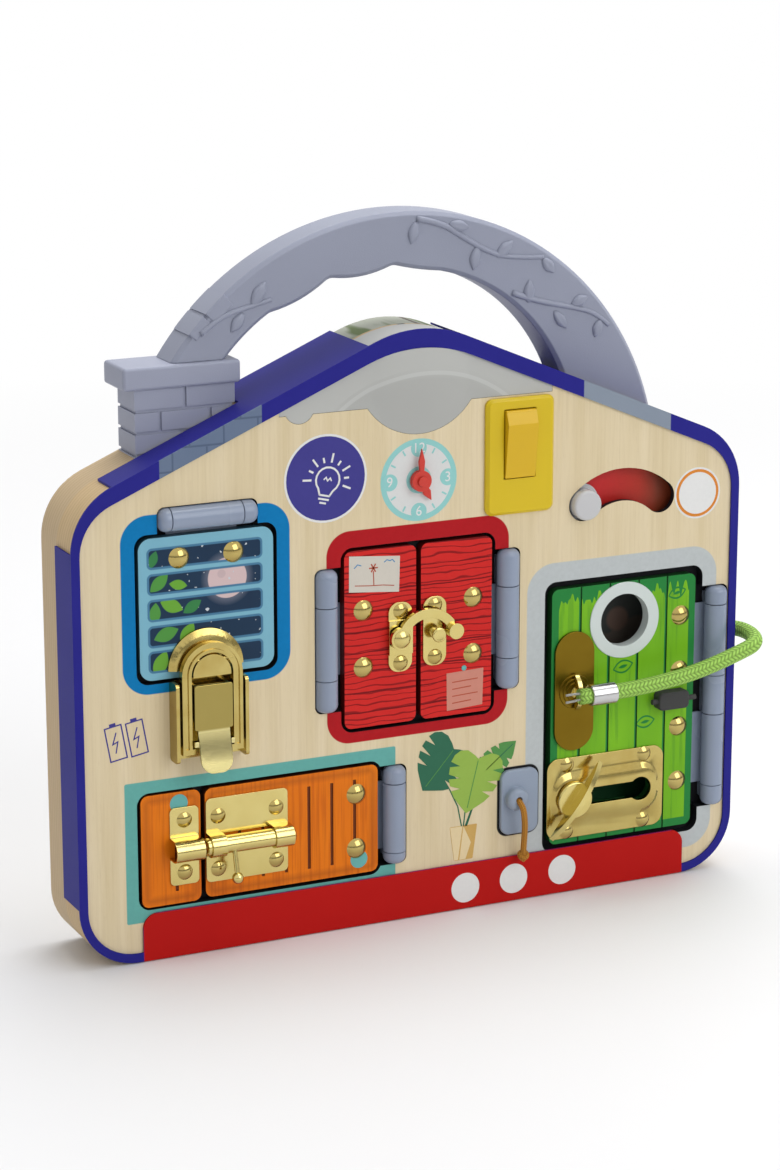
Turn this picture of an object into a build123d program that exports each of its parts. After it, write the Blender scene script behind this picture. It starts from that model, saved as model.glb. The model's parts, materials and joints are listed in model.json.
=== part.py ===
from build123d import *
import os
from math import cos, pi, radians, sin, sqrt

# Latch board: a two-layer wooden house with a moulded carrying arch, four hinged doors,
# five kinds of latch, a clock, a sliding button and a switched lamp, in its card surround.
# Millimetres, +X right and +Z up seen from the front, +Y to the back.
# The origin is the middle of the flat underside, and the seam of the two layers is Y = 0.

# Wooden body
half_width = 144.0
ridge_height = 244.1
roof_slope = 0.4244
crest_radius = 49.0
eave_radius = 27.0
base_radius = 23.0
layer_depth = 18.0
edge_round = 1.2

# Card surround
card_gap = 0.2
card_thickness = 0.8
card_foot = 0.4
card_window_inset = 2.5
card_window_drop = 5.8
card_window_crest_radius = 57.0
card_window_eave_radius = 21.0
card_window_foot = 4.0
card_window_base_radius = 20.0
lip_left_inset = 25.0
lip_right_inset = 22.0
lip_top = 19.6
lip_radius = 6.0
side_flap_low = 25.0
side_flap_drop = 17.0
side_flap_depth = 17.0
roof_flap_rise = 4.0
roof_tab_outer = 128.0
roof_tab_depth = 14.5
roof_flap_outer = 70.0
roof_flap_inner = 22.0

# Doors: left, right, bottom and top edges
door_thickness = 4.4
door_round = 3.0
window_box = (-117.9, -62.4, 113.3, 169.2)
red_left_box = (-32.5, -1.4, 83.0, 155.2)
red_right_box = (0.7, 32.0, 83.0, 155.2)
orange_box = (-92.3, -18.2, 22.3, 67.0)
fixed_orange_box = (-118.9, -94.2, 21.8, 67.4)
green_box = (59.4, 126.0, 21.2, 129.5)
door_gap = 1.5
green_gap = 3.3
recess_depth = 4.6
recess_round = 5.0
ledge_width = 4.0
compartment_round = 3.0
picture_thickness = 1.2
picture_gap = 0.3

# Hinges
barrel_radius = 4.65
hinge_pin_radius = 1.5
hinge_bore_clearance = 0.05
knuckle_gap = 0.3
barrel_front_stand = 3.85
barrel_dome = 3.0
leaf_thickness = 1.0
pocket_floor_gap = 0.4
pocket_side_gap = 0.45
foot_share = 0.8
window_hinge = (-109.6, -69.2, 175.7)
window_knuckles = (4.7, 34.0)
red_hinge_low = 91.2
red_hinge_high = 148.9
red_knuckles = (13.3, 42.8)
red_left_axis = -40.1
red_right_axis = 39.6
orange_hinge_low = 24.4
orange_hinge_high = 65.3
orange_knuckles = (5.1, 33.9)
orange_axis = -10.6
green_hinge_low = 28.3
green_hinge_high = 123.0
green_knuckles = (8.9, 39.9, 56.8, 87.1)
green_axis = 136.3
leaf_reach_past_rivet = 5.5

# Rivets and screws
rivet_radius = 4.2
rivet_height = 1.9
small_rivet_radius = 3.2
small_rivet_height = 1.2
shank_radius = 1.5
shank_gap = 0.05
window_rivet_half_spread = 11.2
window_rivet_drop = 8.7
red_rivet_inset = 8.2
red_rivet_heights = (107.6, 130.8)
orange_rivet_inset = 9.4
orange_rivet_heights = (33.0, 55.7)
green_rivet_inset = 6.8
green_rivet_heights = (40.9, 64.6, 88.6, 112.2)

# Toggle latch under the window
latch_x = -91.3
strike_radius = 15.5
strike_z = 116.4
strike_plate = 1.0
strike_cone_radius = 12.9
strike_cone_height = 2.2
boss_radius = 7.8
boss_front = 7.4
bail_outer_radius = 12.5
bail_inner_radius = 8.6
bail_arch_z = 115.3
bail_foot_z = 84.0
bail_back = 4.6
bail_thickness = 3.0
bail_groove_width = 1.4
bail_groove_depth = 0.7
bail_hook_width = 1.4
bail_hook_height = 2.2
bail_pivot_z = 121.0
bail_pivot_radius = 0.8
bail_pivot_half = 8.4
bail_pivot_gap = 0.06
base_half_width = 15.0
base_low = 80.8
base_high = 112.6
base_plate = 0.8
base_wall = 1.4
base_wall_height = 7.5
ear_inner = 6.1
ear_thickness = 1.2
ear_radius = 1.6
lever_pivot_z = 109.5
lever_pivot_stand = 5.5
lever_pin_radius = 0.8
lever_pin_gap = 0.06
lever_half_width = 7.9
lever_top = 111.5
lever_shoulder = 93.6
lever_back = 7.4
lever_thickness = 1.2
lever_hub_half = 5.8
lever_hub_radius = 1.5
tongue_half_width = 6.6
tongue_low = 77.0
tongue_curl = 4.0
tongue_round = 5.0
lug_low = 87.2
lug_high = 89.4
lug_reach = 1.7
lug_thickness = 1.8

# Swing hasp between the red doors
hasp_plate_width = 10.2
hasp_plate_height = 28.4
hasp_plate_thickness = 1.0
hasp_left = (-8.7, 118.5)
hasp_right = (6.4, 119.2)
hasp_rivet_reach = 10.6
hasp_collar_height = 14.0
hasp_collar_thickness = 0.8
hasp_pivot_x = -9.6
hasp_pivot_z = 118.5
hasp_pivot_radius = 1.6
hasp_pivot_gap = 0.06
hasp_head_radius = 3.6
hasp_head_height = 1.4
arm_back = 2.7
arm_thickness = 2.0
arm_arc_radius = 12.1
arm_arc_offset = (11.5, -2.9)
arm_width = 3.8
arm_root_radius = 4.6
arm_tip_angle = 19.3
arm_tip_radius = 3.2
arm_tip_height = 4.0
staple_radius = 3.0
staple_edge_width = 1.4
staple_height = 5.0
staple_neck_radius = 1.7
staple_offset_z = -0.6

# Slide bolt on the orange door
guide_box = (-92.2, -57.6, 28.7, 63.0)
keeper_box = (-107.3, -95.2, 29.4, 61.2)
sheet_thickness = 0.8
sheet_round = 2.0
bolt_radius = 3.6
bolt_clearance = 0.08
bolt_z = 44.6
bolt_stand = 4.1
hoop_wall = 0.8
guide_hoops = ((0.0, 6.2), (26.8, 34.6))
bolt_left = -94.4
bolt_right = -56.4
bolt_handle_x = -82.6
bolt_stem_radius = 1.0
bolt_stem_length = 13.0
bolt_ball_radius = 2.3
bolt_lean = 15.0
guide_rivet_inset = (5.0, 5.2)
guide_rivet_top_inset = 7.4

# Lock, key and cord on the green door
escutcheon_width = 17.9
escutcheon_height = 50.2
escutcheon_round = 8.9
escutcheon_thickness = 1.2
lock_x = 69.6
lock_z = 86.2
lock_ring_radii = (7.0, 5.6, 4.2)
lock_ring_step = 0.6
key_stem_radius = 2.4
key_stem_gap = 0.06
key_blade_length = 15.0
key_blade_reach = 4.2
key_blade_thickness = 2.0
cord_radius = 3.2
cord_bore_gap = 0.15
bend_share = 0.45
cord_stand = 12.0
cord_rise = 1.0
cord_start_x = 66.0
ferrule_left = 70.6
ferrule_length = 11.4
ferrule_radius = 4.4
ferrule_lip = 0.5
cord_route = (
    (83.0, -30.0, 87.2),
    (101.0, -31.2, 88.6),
    (119.5, -31.6, 91.4),
    (136.6, -31.6, 96.2),
    (151.5, -29.6, 100.4),
    (151.5, -8.2, 102.0),
    (137.0, -8.2, 102.0),
)
cord_hole_gap = 0.25

# Key slot plate on the green door
slot_plate_box = (57.7, 112.0, 23.4, 58.0)
slot_plate_round = 5.0
slot_rise_side_inset = 1.8
slot_rise_inset = 6.3
slot_rise_height = 1.4
slot_rise_slope = 2.4
slot_rise_round = 9.0
slot_half_width = 3.5
slot_left = 69.0
slot_right = 100.6
slot_end_radius = 5.0
slot_z = 40.6
door_slot_margin = 1.2
slot_rivet_side_inset = 9.2
slot_rivet_end_inset = 3.05
shoe_radius = 3.2
shoe_bore_radius = 1.6
shoe_flange_radius = 5.4
shoe_flange = 0.7
shoe_play = 0.15
shoe_back_flange_radius = 6.2
turn_disc_radius = 7.8
turn_disc = 1.7
turn_pin_gap = 0.06
wing_length = 38.0
wing_height = 5.2
wing_thickness = 2.2
wing_angle = 53.6
clip_box = (107.4, 121.6, 73.6, 81.2)
clip_height = 5.0
clip_rod_radius = 1.1
clip_rod_left = 104.8
clip_rod_right = 125.4
clip_rod_stand = 3.0
porthole_x = 92.8
porthole_z = 113.4
porthole_radius = 14.8
porthole_bore = 11.0
porthole_lip = 0.5
porthole_lip_width = 1.2
plank_share = 5
plank_groove_width = 0.7
plank_groove_depth = 0.5

# Orange plank grooves
orange_plank_pitch = 9.9
orange_frame = 5.2
orange_groove_width = 1.3

# Knob plate and its cord
knob_plate_box = (36.2, 53.2, 29.2, 56.6)
knob_plate_thickness = 2.0
knob_plate_round = 4.0
knob_x = 42.4
knob_z = 44.8
knob_radius = 4.8
knob_height = 4.0
string_radius = 1.25
string_bore_gap = 0.1
string_bore_depth = 6.0
string_route = (
    (42.4, -26.6, 44.8),
    (43.4, -27.2, 36.4),
    (44.4, -24.6, 28.2),
    (45.1, -22.4, 20.2),
)

# Clock
clock_x = -0.4
clock_z = 181.0
clock_pin_radius = 1.2
clock_pin_gap = 0.06
clock_head_radius = 1.9
clock_head_height = 0.8
hour_hand_stand = 0.8
hand_thickness = 1.1
hand_gap = 0.25
hand_hub_radius = 4.2
minute_reach = 13.0
hour_reach = 9.6
minute_tip_width = 2.6
hour_tip_width = 3.4
hour_hand_angle = -150.0
hand_shoulder_share = 0.62

# Arc slot and its button
arc_x = 90.7
arc_z = 144.0
arc_radius = 26.2
arc_wedge_reach = 60.0
arc_half_width = 6.7
arc_half_angle = 42.0
arc_lip = 2.5
arc_undercut = 2.0
arc_backing_top = 5.6
arc_fit = 0.15
button_radius = 6.2
button_stand = 3.6
button_flange_radius = 7.9
button_flange = 1.8
button_flange_gap = 0.2
button_round = 1.2
arc_button_angle = 131.0

# Rocker switch
switch_box = (28.3, 58.4, 163.4, 210.4)
switch_plate_thickness = 2.4
switch_plate_round = 3.0
switch_plate_bevel = 1.2
rocker_box = (36.2, 49.4, 178.4, 205.6)
rocker_gap = 0.5
rocker_depth = 7.0
rocker_low_stand = 0.6
rocker_break_stand = 3.2
rocker_top_stand = 1.2
rocker_break_share = 0.8
rocker_round = 1.5
rocker_pin_radius = 1.4
rocker_pin_gap = 0.06
rocker_pin_reach = 1.0
rocker_axis_depth = 1.0
switch_well_depth = 9.0
switch_well_margin = 1.6

# Lamp
lamp_left = -59.4
lamp_right = 58.1
lamp_edge_drop = 32.8
lamp_bowl_drop = 17.8
lamp_bowl_radius = 26.9
lamp_lobe_x = -51.0
lamp_lobe_drop = 30.1
lamp_lobe_radius = 6.2
lamp_wall = 1.8
lamp_fit = 0.15
lamp_dome_radius = 22.0
lamp_dome_drop = 22.1
lamp_dome_height = 2.2
lamp_cavity_depth = 16.5
light_board_length = 70.0
light_board_height = 9.0
light_board_thickness = 1.4
light_board_drop = 25.1
light_spread = 22.0
light_radius = 2.4
light_length = 4.5
light_round_share = 0.8

# Battery box in the back layer
battery_x = -40.0
battery_z = 160.0
battery_width = 46.0
battery_height = 24.0
battery_depth = 13.0
battery_wall = 1.6
battery_round = 3.0
cover_thickness = 2.0
cover_margin = 4.0
cover_fit = 0.2
cell_radius = 5.8
cell_length = 5.2
cell_count = 3
cell_gap = 0.6
screw_radius = 1.5
screw_head_radius = 3.0
screw_length = 9.0

# Chimney and carrying arch
arch_front = -2.0
arch_back = 16.0
arch_x = 0.0
arch_drop = 76.1
arch_outer_radius = 116.0
arch_left_inner_radius = 98.0
arch_right_x = 0.7
arch_right_drop = 58.7
arch_right_radius = 76.0
arch_right_middle_angle = 50.0
arch_left_middle_angle = -42.0
grip_x = 0.2
grip_drop = 76.6
grip_start = (98.2, -34.6)
grip_bumps = ((95.2, -27.0), (93.8, -10.8), (93.5, 5.7))
grip_valleys = ((97.6, -18.3), (95.9, -2.1))
grip_end_angle = 12.6
grip_valley_radius = 5.0
arch_edge = 1.6
tenon_inset = 5.0
tenon_depth = 14.0
tenon_fit = 0.15
arch_tenon_left = 80.0
arch_tenon_right = 104.0
chimney_left = -112.0
chimney_right = -71.0
chimney_drop = 21.1
cap_left = -117.0
cap_right = -69.0
cap_thickness = 9.0
cap_overhang = 1.8
cap_round = 1.4
brick_height = 8.4
brick_joint = 1.3
brick_joint_depth = 0.7
brick_columns = 2
brick_rows = 4
chimney_tenon_left = -104.0
chimney_tenon_right = -80.0

# Derived planes and heights
arch_z = ridge_height - arch_drop
arch_right_z = ridge_height - arch_right_drop
grip_z = ridge_height - grip_drop
chimney_height = ridge_height - chimney_drop
cap_height = chimney_height + cap_thickness
light_board_z = ridge_height - light_board_drop
front = -layer_depth
back = layer_depth
door_back = front + door_thickness
recess_floor = front + recess_depth
hinge_y = front - barrel_front_stand + barrel_radius
leaf_back = door_back + leaf_thickness
pocket_floor = leaf_back + pocket_floor_gap


def face_plate(outline, near, far):
    """A flat piece drawn in the front view, from the plane Y = near back to Y = far."""
    return extrude(Plane.XZ.offset(-far) * outline, amount=far - near)


def box_outline(box, corner=0.0, grow=0.0):
    """A rounded rectangle from its left, right, bottom and top edges."""
    left, right, low, high = box
    width = right - left + 2 * grow
    height = high - low + 2 * grow
    centre = Pos((left + right) / 2, (low + high) / 2)
    if corner + grow <= 0:
        return centre * Rectangle(width, height)
    return centre * RectangleRounded(width, height, corner + grow)


def disc(x, z, radius):
    return Pos(x, z) * Circle(radius)


def peg(x, z, radius, near, far):
    """A round bar along Y."""
    return face_plate(disc(x, z, radius), near, far)


def bar(start, direction, radius, length):
    """A round bar from a point along a direction."""
    return extrude(Plane(origin=start, z_dir=direction) * Circle(radius), amount=length)


def rounded(sketch, corners):
    """The sketch with the corner nearest each (x, z) rounded to its radius."""
    for x, z, radius in corners:
        corner = min(sketch.vertices(), key=lambda v: (v.X - x) ** 2 + (v.Y - z) ** 2)
        sketch = fillet([corner], radius)
    return sketch


def gable(half, ridge, foot, crest, eave, base):
    """A house outline with rounded ridge, eaves and bottom corners."""
    eave_height = ridge - roof_slope * half
    points = ((-half, foot), (half, foot), (half, eave_height), (0, ridge), (-half, eave_height))
    corners = [(0, ridge, crest)]
    corners += [(side * half, eave_height, eave) for side in (-1, 1)]
    corners += [(side * half, foot, base) for side in (-1, 1)]
    return rounded(make_face(Polyline(*points, close=True)), corners)


def house(grow=0.0, foot=0.0):
    """The wooden outline, grown outwards all round above its foot."""
    return gable(
        half_width + grow,
        ridge_height + grow * sqrt(1 + roof_slope**2),
        foot,
        crest_radius + grow,
        eave_radius + grow,
        base_radius + grow,
    )


def roof_z(x):
    return ridge_height - roof_slope * abs(x)


def block(x0, x1, y0, y1, z0, z1):
    return Pos((x0 + x1) / 2, (y0 + y1) / 2, (z0 + z1) / 2) * Box(x1 - x0, y1 - y0, z1 - z0)


def rivet(x, z, seat, far, radius=rivet_radius, height=rivet_height):
    """A domed head on the plane Y = seat with its shank back to Y = far."""
    ball = (radius**2 + height**2) / (2 * height)
    head = Pos(x, seat - height + ball, z) * Sphere(ball)
    head = head & peg(x, z, radius, seat - height, seat)
    return head + peg(x, z, shank_radius, seat, far)


def shank_holes(points, near, far):
    return [peg(x, z, shank_radius + shank_gap, near, far) for x, z in points]


def hinge_solids(length, cuts, reach, first_moves=False):
    """Fixed and moving knuckles of a hinge along +Z from the origin, its door towards +X."""
    fixed, moving = [], []
    stops = (0.0, *cuts, length)
    foot_half = barrel_radius * foot_share
    pin = Pos(0, 0, length / 2) * Cylinder(hinge_pin_radius, length - 2 * barrel_dome)
    bore_radius = hinge_pin_radius + hinge_bore_clearance
    bore = Pos(0, 0, length / 2) * Cylinder(bore_radius, length - 2 * barrel_dome)
    for index, (low, high) in enumerate(zip(stops[:-1], stops[1:])):
        low_gap = knuckle_gap / 2 if index else 0.0
        high_gap = knuckle_gap / 2 if index < len(stops) - 2 else 0.0
        low, high = low + low_gap, high - high_gap
        knuckle = Pos(0, 0, (low + high) / 2) * Cylinder(barrel_radius, high - low)
        if not low_gap:
            knuckle = fillet(knuckle.edges().sort_by(Axis.Z)[0], barrel_dome)
        if not high_gap:
            knuckle = fillet(knuckle.edges().sort_by(Axis.Z)[-1], barrel_dome)
        if (index % 2 == 0) == first_moves:
            leaf = block(0, reach, door_back - hinge_y, leaf_back - hinge_y, low, high)
            moving.append(knuckle + leaf - bore)
        else:
            inner = low + (0 if low_gap else barrel_dome)
            outer = high - (0 if high_gap else barrel_dome)
            foot = block(-foot_half, foot_half, 0, pocket_floor - hinge_y, inner, outer)
            fixed.append(knuckle + foot - bore)
    return fixed, moving, pin


def stand_hinge(solids, x, z, mirrored=False):
    """Puts a hinge on a vertical axis. Mirrored, its door lies towards -X."""
    place = Pos(x, hinge_y, z)
    if mirrored:
        solids = [mirror(s, about=Plane.YZ) for s in solids]
    return [place * s for s in solids]


def lay_hinge(solids, x, z):
    """Puts a hinge on an axis along +X, its door hanging below it."""
    place = Pos(x, hinge_y, z) * Rot(0, 90, 0)
    return [place * s for s in solids]


def write(name, *solids):
    """One STEP file with its separate solids."""
    flat = [piece for shape in solids for piece in shape.solids()]
    shape = flat[0] if len(flat) == 1 else Compound(children=flat)
    export_step(shape, f"parts/{name}.step")


def door(box, rivets, corner=door_round, far=door_back):
    panel = face_plate(box_outline(box, corner), front, far)
    for hole in shank_holes(rivets, front, far):
        panel -= hole
    return panel


os.makedirs("parts", exist_ok=True)

# Rivet places of the four doors
window_middle = (window_box[0] + window_box[1]) / 2
window_rivets = [
    (window_middle + side * window_rivet_half_spread, window_box[3] - window_rivet_drop)
    for side in (-1, 1)
]
red_left_rivets = [(red_left_box[0] + red_rivet_inset, z) for z in red_rivet_heights]
red_right_rivets = [(red_right_box[1] - red_rivet_inset, z) for z in red_rivet_heights]
orange_rivets = [(orange_box[1] - orange_rivet_inset, z) for z in orange_rivet_heights]
green_rivets = [(green_box[1] - green_rivet_inset, z) for z in green_rivet_heights]

# Hinges
window_reach = window_hinge[2] - window_rivets[0][1] + leaf_reach_past_rivet
red_reach = red_left_rivets[0][0] - red_left_axis + leaf_reach_past_rivet
orange_reach = orange_axis - orange_rivets[0][0] + leaf_reach_past_rivet
green_reach = green_axis - green_rivets[0][0] + leaf_reach_past_rivet
window_set = hinge_solids(window_hinge[1] - window_hinge[0], window_knuckles, window_reach)
red_set = hinge_solids(red_hinge_high - red_hinge_low, red_knuckles, red_reach)
orange_set = hinge_solids(orange_hinge_high - orange_hinge_low, orange_knuckles, orange_reach)
green_set = hinge_solids(green_hinge_high - green_hinge_low, green_knuckles, green_reach)

fixed_knuckles = lay_hinge(window_set[0], window_hinge[0], window_hinge[2])
fixed_knuckles += stand_hinge(red_set[0], red_left_axis, red_hinge_low)
fixed_knuckles += stand_hinge(red_set[0], red_right_axis, red_hinge_low)
fixed_knuckles += stand_hinge(orange_set[0], orange_axis, orange_hinge_low)
fixed_knuckles += stand_hinge(green_set[0], green_axis, green_hinge_low)
write("hinge_knuckles", *fixed_knuckles)

pins = lay_hinge([window_set[2]], window_hinge[0], window_hinge[2])
pins += stand_hinge([red_set[2]], red_left_axis, red_hinge_low)
pins += stand_hinge([red_set[2]], red_right_axis, red_hinge_low)
pins += stand_hinge([orange_set[2]], orange_axis, orange_hinge_low)
pins += stand_hinge([green_set[2]], green_axis, green_hinge_low)
write("hinge_pins", *pins)


def drilled(solids, rivets):
    """Moving leaves with their rivet holes."""
    holes = shank_holes(rivets, front, leaf_back)
    return [leaf.cut(*holes) for leaf in solids]


window_leaf = drilled(lay_hinge(window_set[1], window_hinge[0], window_hinge[2]), window_rivets)
red_left_leaf = drilled(stand_hinge(red_set[1], red_left_axis, red_hinge_low), red_left_rivets)
red_right_leaf = drilled(stand_hinge(red_set[1], red_right_axis, red_hinge_low, True), red_right_rivets)
orange_leaf = drilled(stand_hinge(orange_set[1], orange_axis, orange_hinge_low, True), orange_rivets)
green_leaves = drilled(stand_hinge(green_set[1], green_axis, green_hinge_low, True), green_rivets)
write("window_leaf", *window_leaf)
write("red_left_leaf", *red_left_leaf)
write("red_right_leaf", *red_right_leaf)
write("orange_leaf", *orange_leaf)
write("green_leaves", *green_leaves)

# Front layer: recesses, compartments and hinge pockets milled in one wooden plate
front_board = face_plate(house(), front, 0)
front_board = fillet(front_board.faces().sort_by(Axis.Y)[0].edges(), edge_round)


def grown(box, amount):
    return (box[0] - amount, box[1] + amount, box[2] - amount, box[3] + amount)


red_box = (red_left_box[0], red_right_box[1], red_left_box[2], red_left_box[3])
orange_bay = (
    fixed_orange_box[0] - door_gap,
    orange_box[1] + door_gap,
    orange_box[2] - door_gap,
    orange_box[3] + door_gap,
)
recesses = [
    grown(window_box, door_gap),
    grown(red_box, door_gap),
    orange_bay,
    grown(green_box, green_gap),
]
compartments = [grown(box, -ledge_width) for box in (recesses[0], recesses[1])]
compartments.append(grown((orange_box[0], orange_box[1], orange_bay[2], orange_bay[3]), -ledge_width))
compartments.append(grown(recesses[3], -ledge_width))
for box in recesses:
    front_board -= face_plate(box_outline(box, recess_round), front, recess_floor)
for box in compartments:
    front_board -= face_plate(box_outline(box, compartment_round), recess_floor, 0)

# A pocket takes each barrel and the leaf that runs under the door
pocket_reach = barrel_radius + pocket_side_gap
window_pocket = (
    window_hinge[0] - pocket_side_gap,
    window_hinge[1] + pocket_side_gap,
    window_hinge[2] - window_reach - pocket_side_gap,
    window_hinge[2] + pocket_reach,
)
red_left_pocket = (
    red_left_axis - pocket_reach,
    red_left_axis + red_reach + pocket_side_gap,
    red_hinge_low - pocket_side_gap,
    red_hinge_high + pocket_side_gap,
)
red_right_pocket = (
    red_right_axis - red_reach - pocket_side_gap,
    red_right_axis + pocket_reach,
    red_hinge_low - pocket_side_gap,
    red_hinge_high + pocket_side_gap,
)
orange_pocket = (
    orange_axis - orange_reach - pocket_side_gap,
    orange_axis + pocket_reach,
    orange_hinge_low - pocket_side_gap,
    orange_hinge_high + pocket_side_gap,
)
green_pocket = (
    green_axis - green_reach - pocket_side_gap,
    green_axis + pocket_reach,
    green_hinge_low - pocket_side_gap,
    green_hinge_high + pocket_side_gap,
)
pockets = (window_pocket, red_left_pocket, red_right_pocket, orange_pocket, green_pocket)
for pocket in pockets:
    front_board -= face_plate(box_outline(pocket, compartment_round), front, pocket_floor)


def arc_band(radius, half_width, half_angle):
    """A stadium bent round the arc's centre, symmetrical about the vertical."""
    ring = disc(arc_x, arc_z, radius + half_width) - disc(arc_x, arc_z, radius - half_width)
    across = arc_wedge_reach * sin(radians(half_angle))
    top = arc_z + arc_wedge_reach * cos(radians(half_angle))
    corners = ((arc_x, arc_z), (arc_x + across, top), (arc_x - across, top))
    wedge = make_face(Polyline(*corners, close=True))
    end_x = radius * sin(radians(half_angle))
    end_z = arc_z + radius * cos(radians(half_angle))
    ends = disc(arc_x - end_x, end_z, half_width) + disc(arc_x + end_x, end_z, half_width)
    return (ring & wedge) + ends


front_board -= face_plate(arc_band(arc_radius, arc_half_width, arc_half_angle), front, front + arc_lip)
undercut_band = arc_band(arc_radius, arc_half_width + arc_undercut, arc_half_angle)
front_board -= face_plate(undercut_band, front + arc_lip, 0)

# Lamp cover outline: a bowl and a lobe under a straight edge, up to the roof
lamp_outline = box_outline((lamp_left, lamp_right, ridge_height - lamp_edge_drop, ridge_height))
lamp_outline += disc(0, ridge_height - lamp_bowl_drop, lamp_bowl_radius)
lamp_outline += disc(lamp_lobe_x, ridge_height - lamp_lobe_drop, lamp_lobe_radius)
lamp_outline = lamp_outline & house()
lamp_opening = offset(lamp_outline, lamp_fit, kind=Kind.INTERSECTION)
front_board -= face_plate(lamp_opening, front - edge_round, front + lamp_cavity_depth)

# Switch well, clock pin hole, cord hole, knob hole and shank holes of the fixed fittings
switch_well = grown(rocker_box, switch_well_margin)
front_board -= face_plate(box_outline(switch_well, compartment_round), front, front + switch_well_depth)
front_board -= peg(clock_x, clock_z, clock_pin_radius, front, front + recess_depth)
cord_end = cord_route[-1]
cord_hole_mouth = half_width + card_gap + card_thickness
cord_hole = bar(cord_end, (1, 0, 0), cord_radius + cord_hole_gap, cord_hole_mouth - cord_end[0])
front_board -= cord_hole
write("front_board", front_board)

# Back layer with the battery bay and the sockets of the moulded roof pieces
rear_board = face_plate(house(), 0, back)
rear_board = fillet(rear_board.faces().sort_by(Axis.Y)[-1].edges(), edge_round)
battery_outer = (
    battery_x - battery_width / 2,
    battery_x + battery_width / 2,
    battery_z - battery_height / 2,
    battery_z + battery_height / 2,
)
cover_box = grown(battery_outer, cover_margin)
battery_bay = box_outline(battery_outer, battery_round, cover_fit)
rear_board -= face_plate(battery_bay, back - battery_depth, back)
rear_board -= face_plate(box_outline(cover_box, battery_round, cover_fit), back - cover_thickness, back)


def tenon(left, right, grow=0.0):
    """A tongue below the roof line, grown for its socket."""
    low = roof_z(max(abs(left), abs(right))) - tenon_depth
    return block(
        left - grow,
        right + grow,
        max(0.0, arch_front) + tenon_inset - grow,
        arch_back - tenon_inset + grow,
        low - grow,
        ridge_height,
    )


rear_board -= tenon(arch_tenon_left, arch_tenon_right, tenon_fit)
rear_board -= tenon(chimney_tenon_left, chimney_tenon_right, tenon_fit)

# Picture boards behind the doors
pictures = [box_outline(box, compartment_round, -picture_gap) for box in compartments]
write("picture_boards", *[face_plate(outline, -picture_thickness, 0) for outline in pictures])

# Battery box with its cells, cover and screw
battery_outline = box_outline(battery_outer, battery_round)
battery_box = face_plate(battery_outline, back - battery_depth, back - cover_thickness)
cell_pitch = 2 * cell_radius + cell_gap
bay_left = battery_x - battery_width / 2 + battery_wall
cell_bay = (
    bay_left,
    bay_left + cell_count * cell_pitch + cell_gap,
    battery_z - cell_radius - cell_gap,
    battery_z + cell_radius + cell_gap,
)
cell_near = back - battery_depth + battery_wall
battery_box -= face_plate(box_outline(cell_bay, battery_wall), cell_near, back - cover_thickness)
screw_x = (cell_bay[1] + battery_outer[1]) / 2
battery_box -= peg(screw_x, battery_z, screw_radius, back - screw_length, back - cover_thickness)
write("battery_box", battery_box)
cell_xs = [bay_left + cell_gap + cell_radius + index * cell_pitch for index in range(cell_count)]
cells = [peg(x, battery_z, cell_radius, cell_near, cell_near + cell_length) for x in cell_xs]
write("battery_cells", *cells)
battery_cover = face_plate(box_outline(cover_box, battery_round), back - cover_thickness, back)
countersink = Rot(90, 0, 0) * Cone(screw_head_radius, screw_radius, cover_thickness)
countersink = Pos(screw_x, back - cover_thickness / 2, battery_z) * countersink
battery_cover -= countersink
write("battery_cover", battery_cover)
screw_shank = peg(screw_x, battery_z, screw_radius, back - screw_length, back - cover_thickness)
write("battery_screw", countersink + screw_shank)
write("rear_board", rear_board)

# Card surround: a window frame with flaps folded back over the sides and the roof
card_outline = house(card_gap + card_thickness, card_foot)
card_window = gable(
    half_width - card_window_inset,
    ridge_height - card_window_drop,
    card_window_foot,
    card_window_crest_radius,
    card_window_eave_radius,
    card_window_base_radius,
)
lip_box = (lip_left_inset - half_width, half_width - lip_right_inset, -lip_top, lip_top)
lip = box_outline(lip_box, lip_radius)
card_front_far = front - card_gap
card_front_near = card_front_far - card_thickness
card = face_plate(card_outline - (card_window - lip), card_front_near, card_front_far)
shell = face_plate(card_outline - house(card_gap), card_front_far, back)
tall = 2 * ridge_height
reach = 2 * half_width
eave_height = roof_z(half_width)
side_flap_high = eave_height - side_flap_drop
side_flap_back = front + side_flap_depth
flap_zones = [block(-reach, reach, card_front_far, side_flap_back, side_flap_low, side_flap_high)]
roof_low = side_flap_high + roof_flap_rise
for side in (-1, 1):
    edges = sorted((side * roof_flap_outer, side * roof_flap_inner))
    flap_zones.append(block(edges[0], edges[1], card_front_far, back, roof_low, tall))
    edges = sorted((side * roof_tab_outer, side * roof_flap_outer))
    flap_zones.append(block(edges[0], edges[1], card_front_far, front + roof_tab_depth, roof_low, tall))
for zone in flap_zones:
    card += shell & zone
card -= cord_hole
write("card_surround", card)

# Carrying arch, with finger bumps along its grip
def grip_point(radius, angle):
    return (grip_x + radius * sin(radians(angle)), grip_z + radius * cos(radians(angle)))


def circle_point(x, z, radius, angle):
    return (x + radius * sin(radians(angle)), z + radius * cos(radians(angle)))


def inner_right_point(angle):
    return circle_point(arch_right_x, arch_right_z, arch_right_radius, angle)


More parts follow.
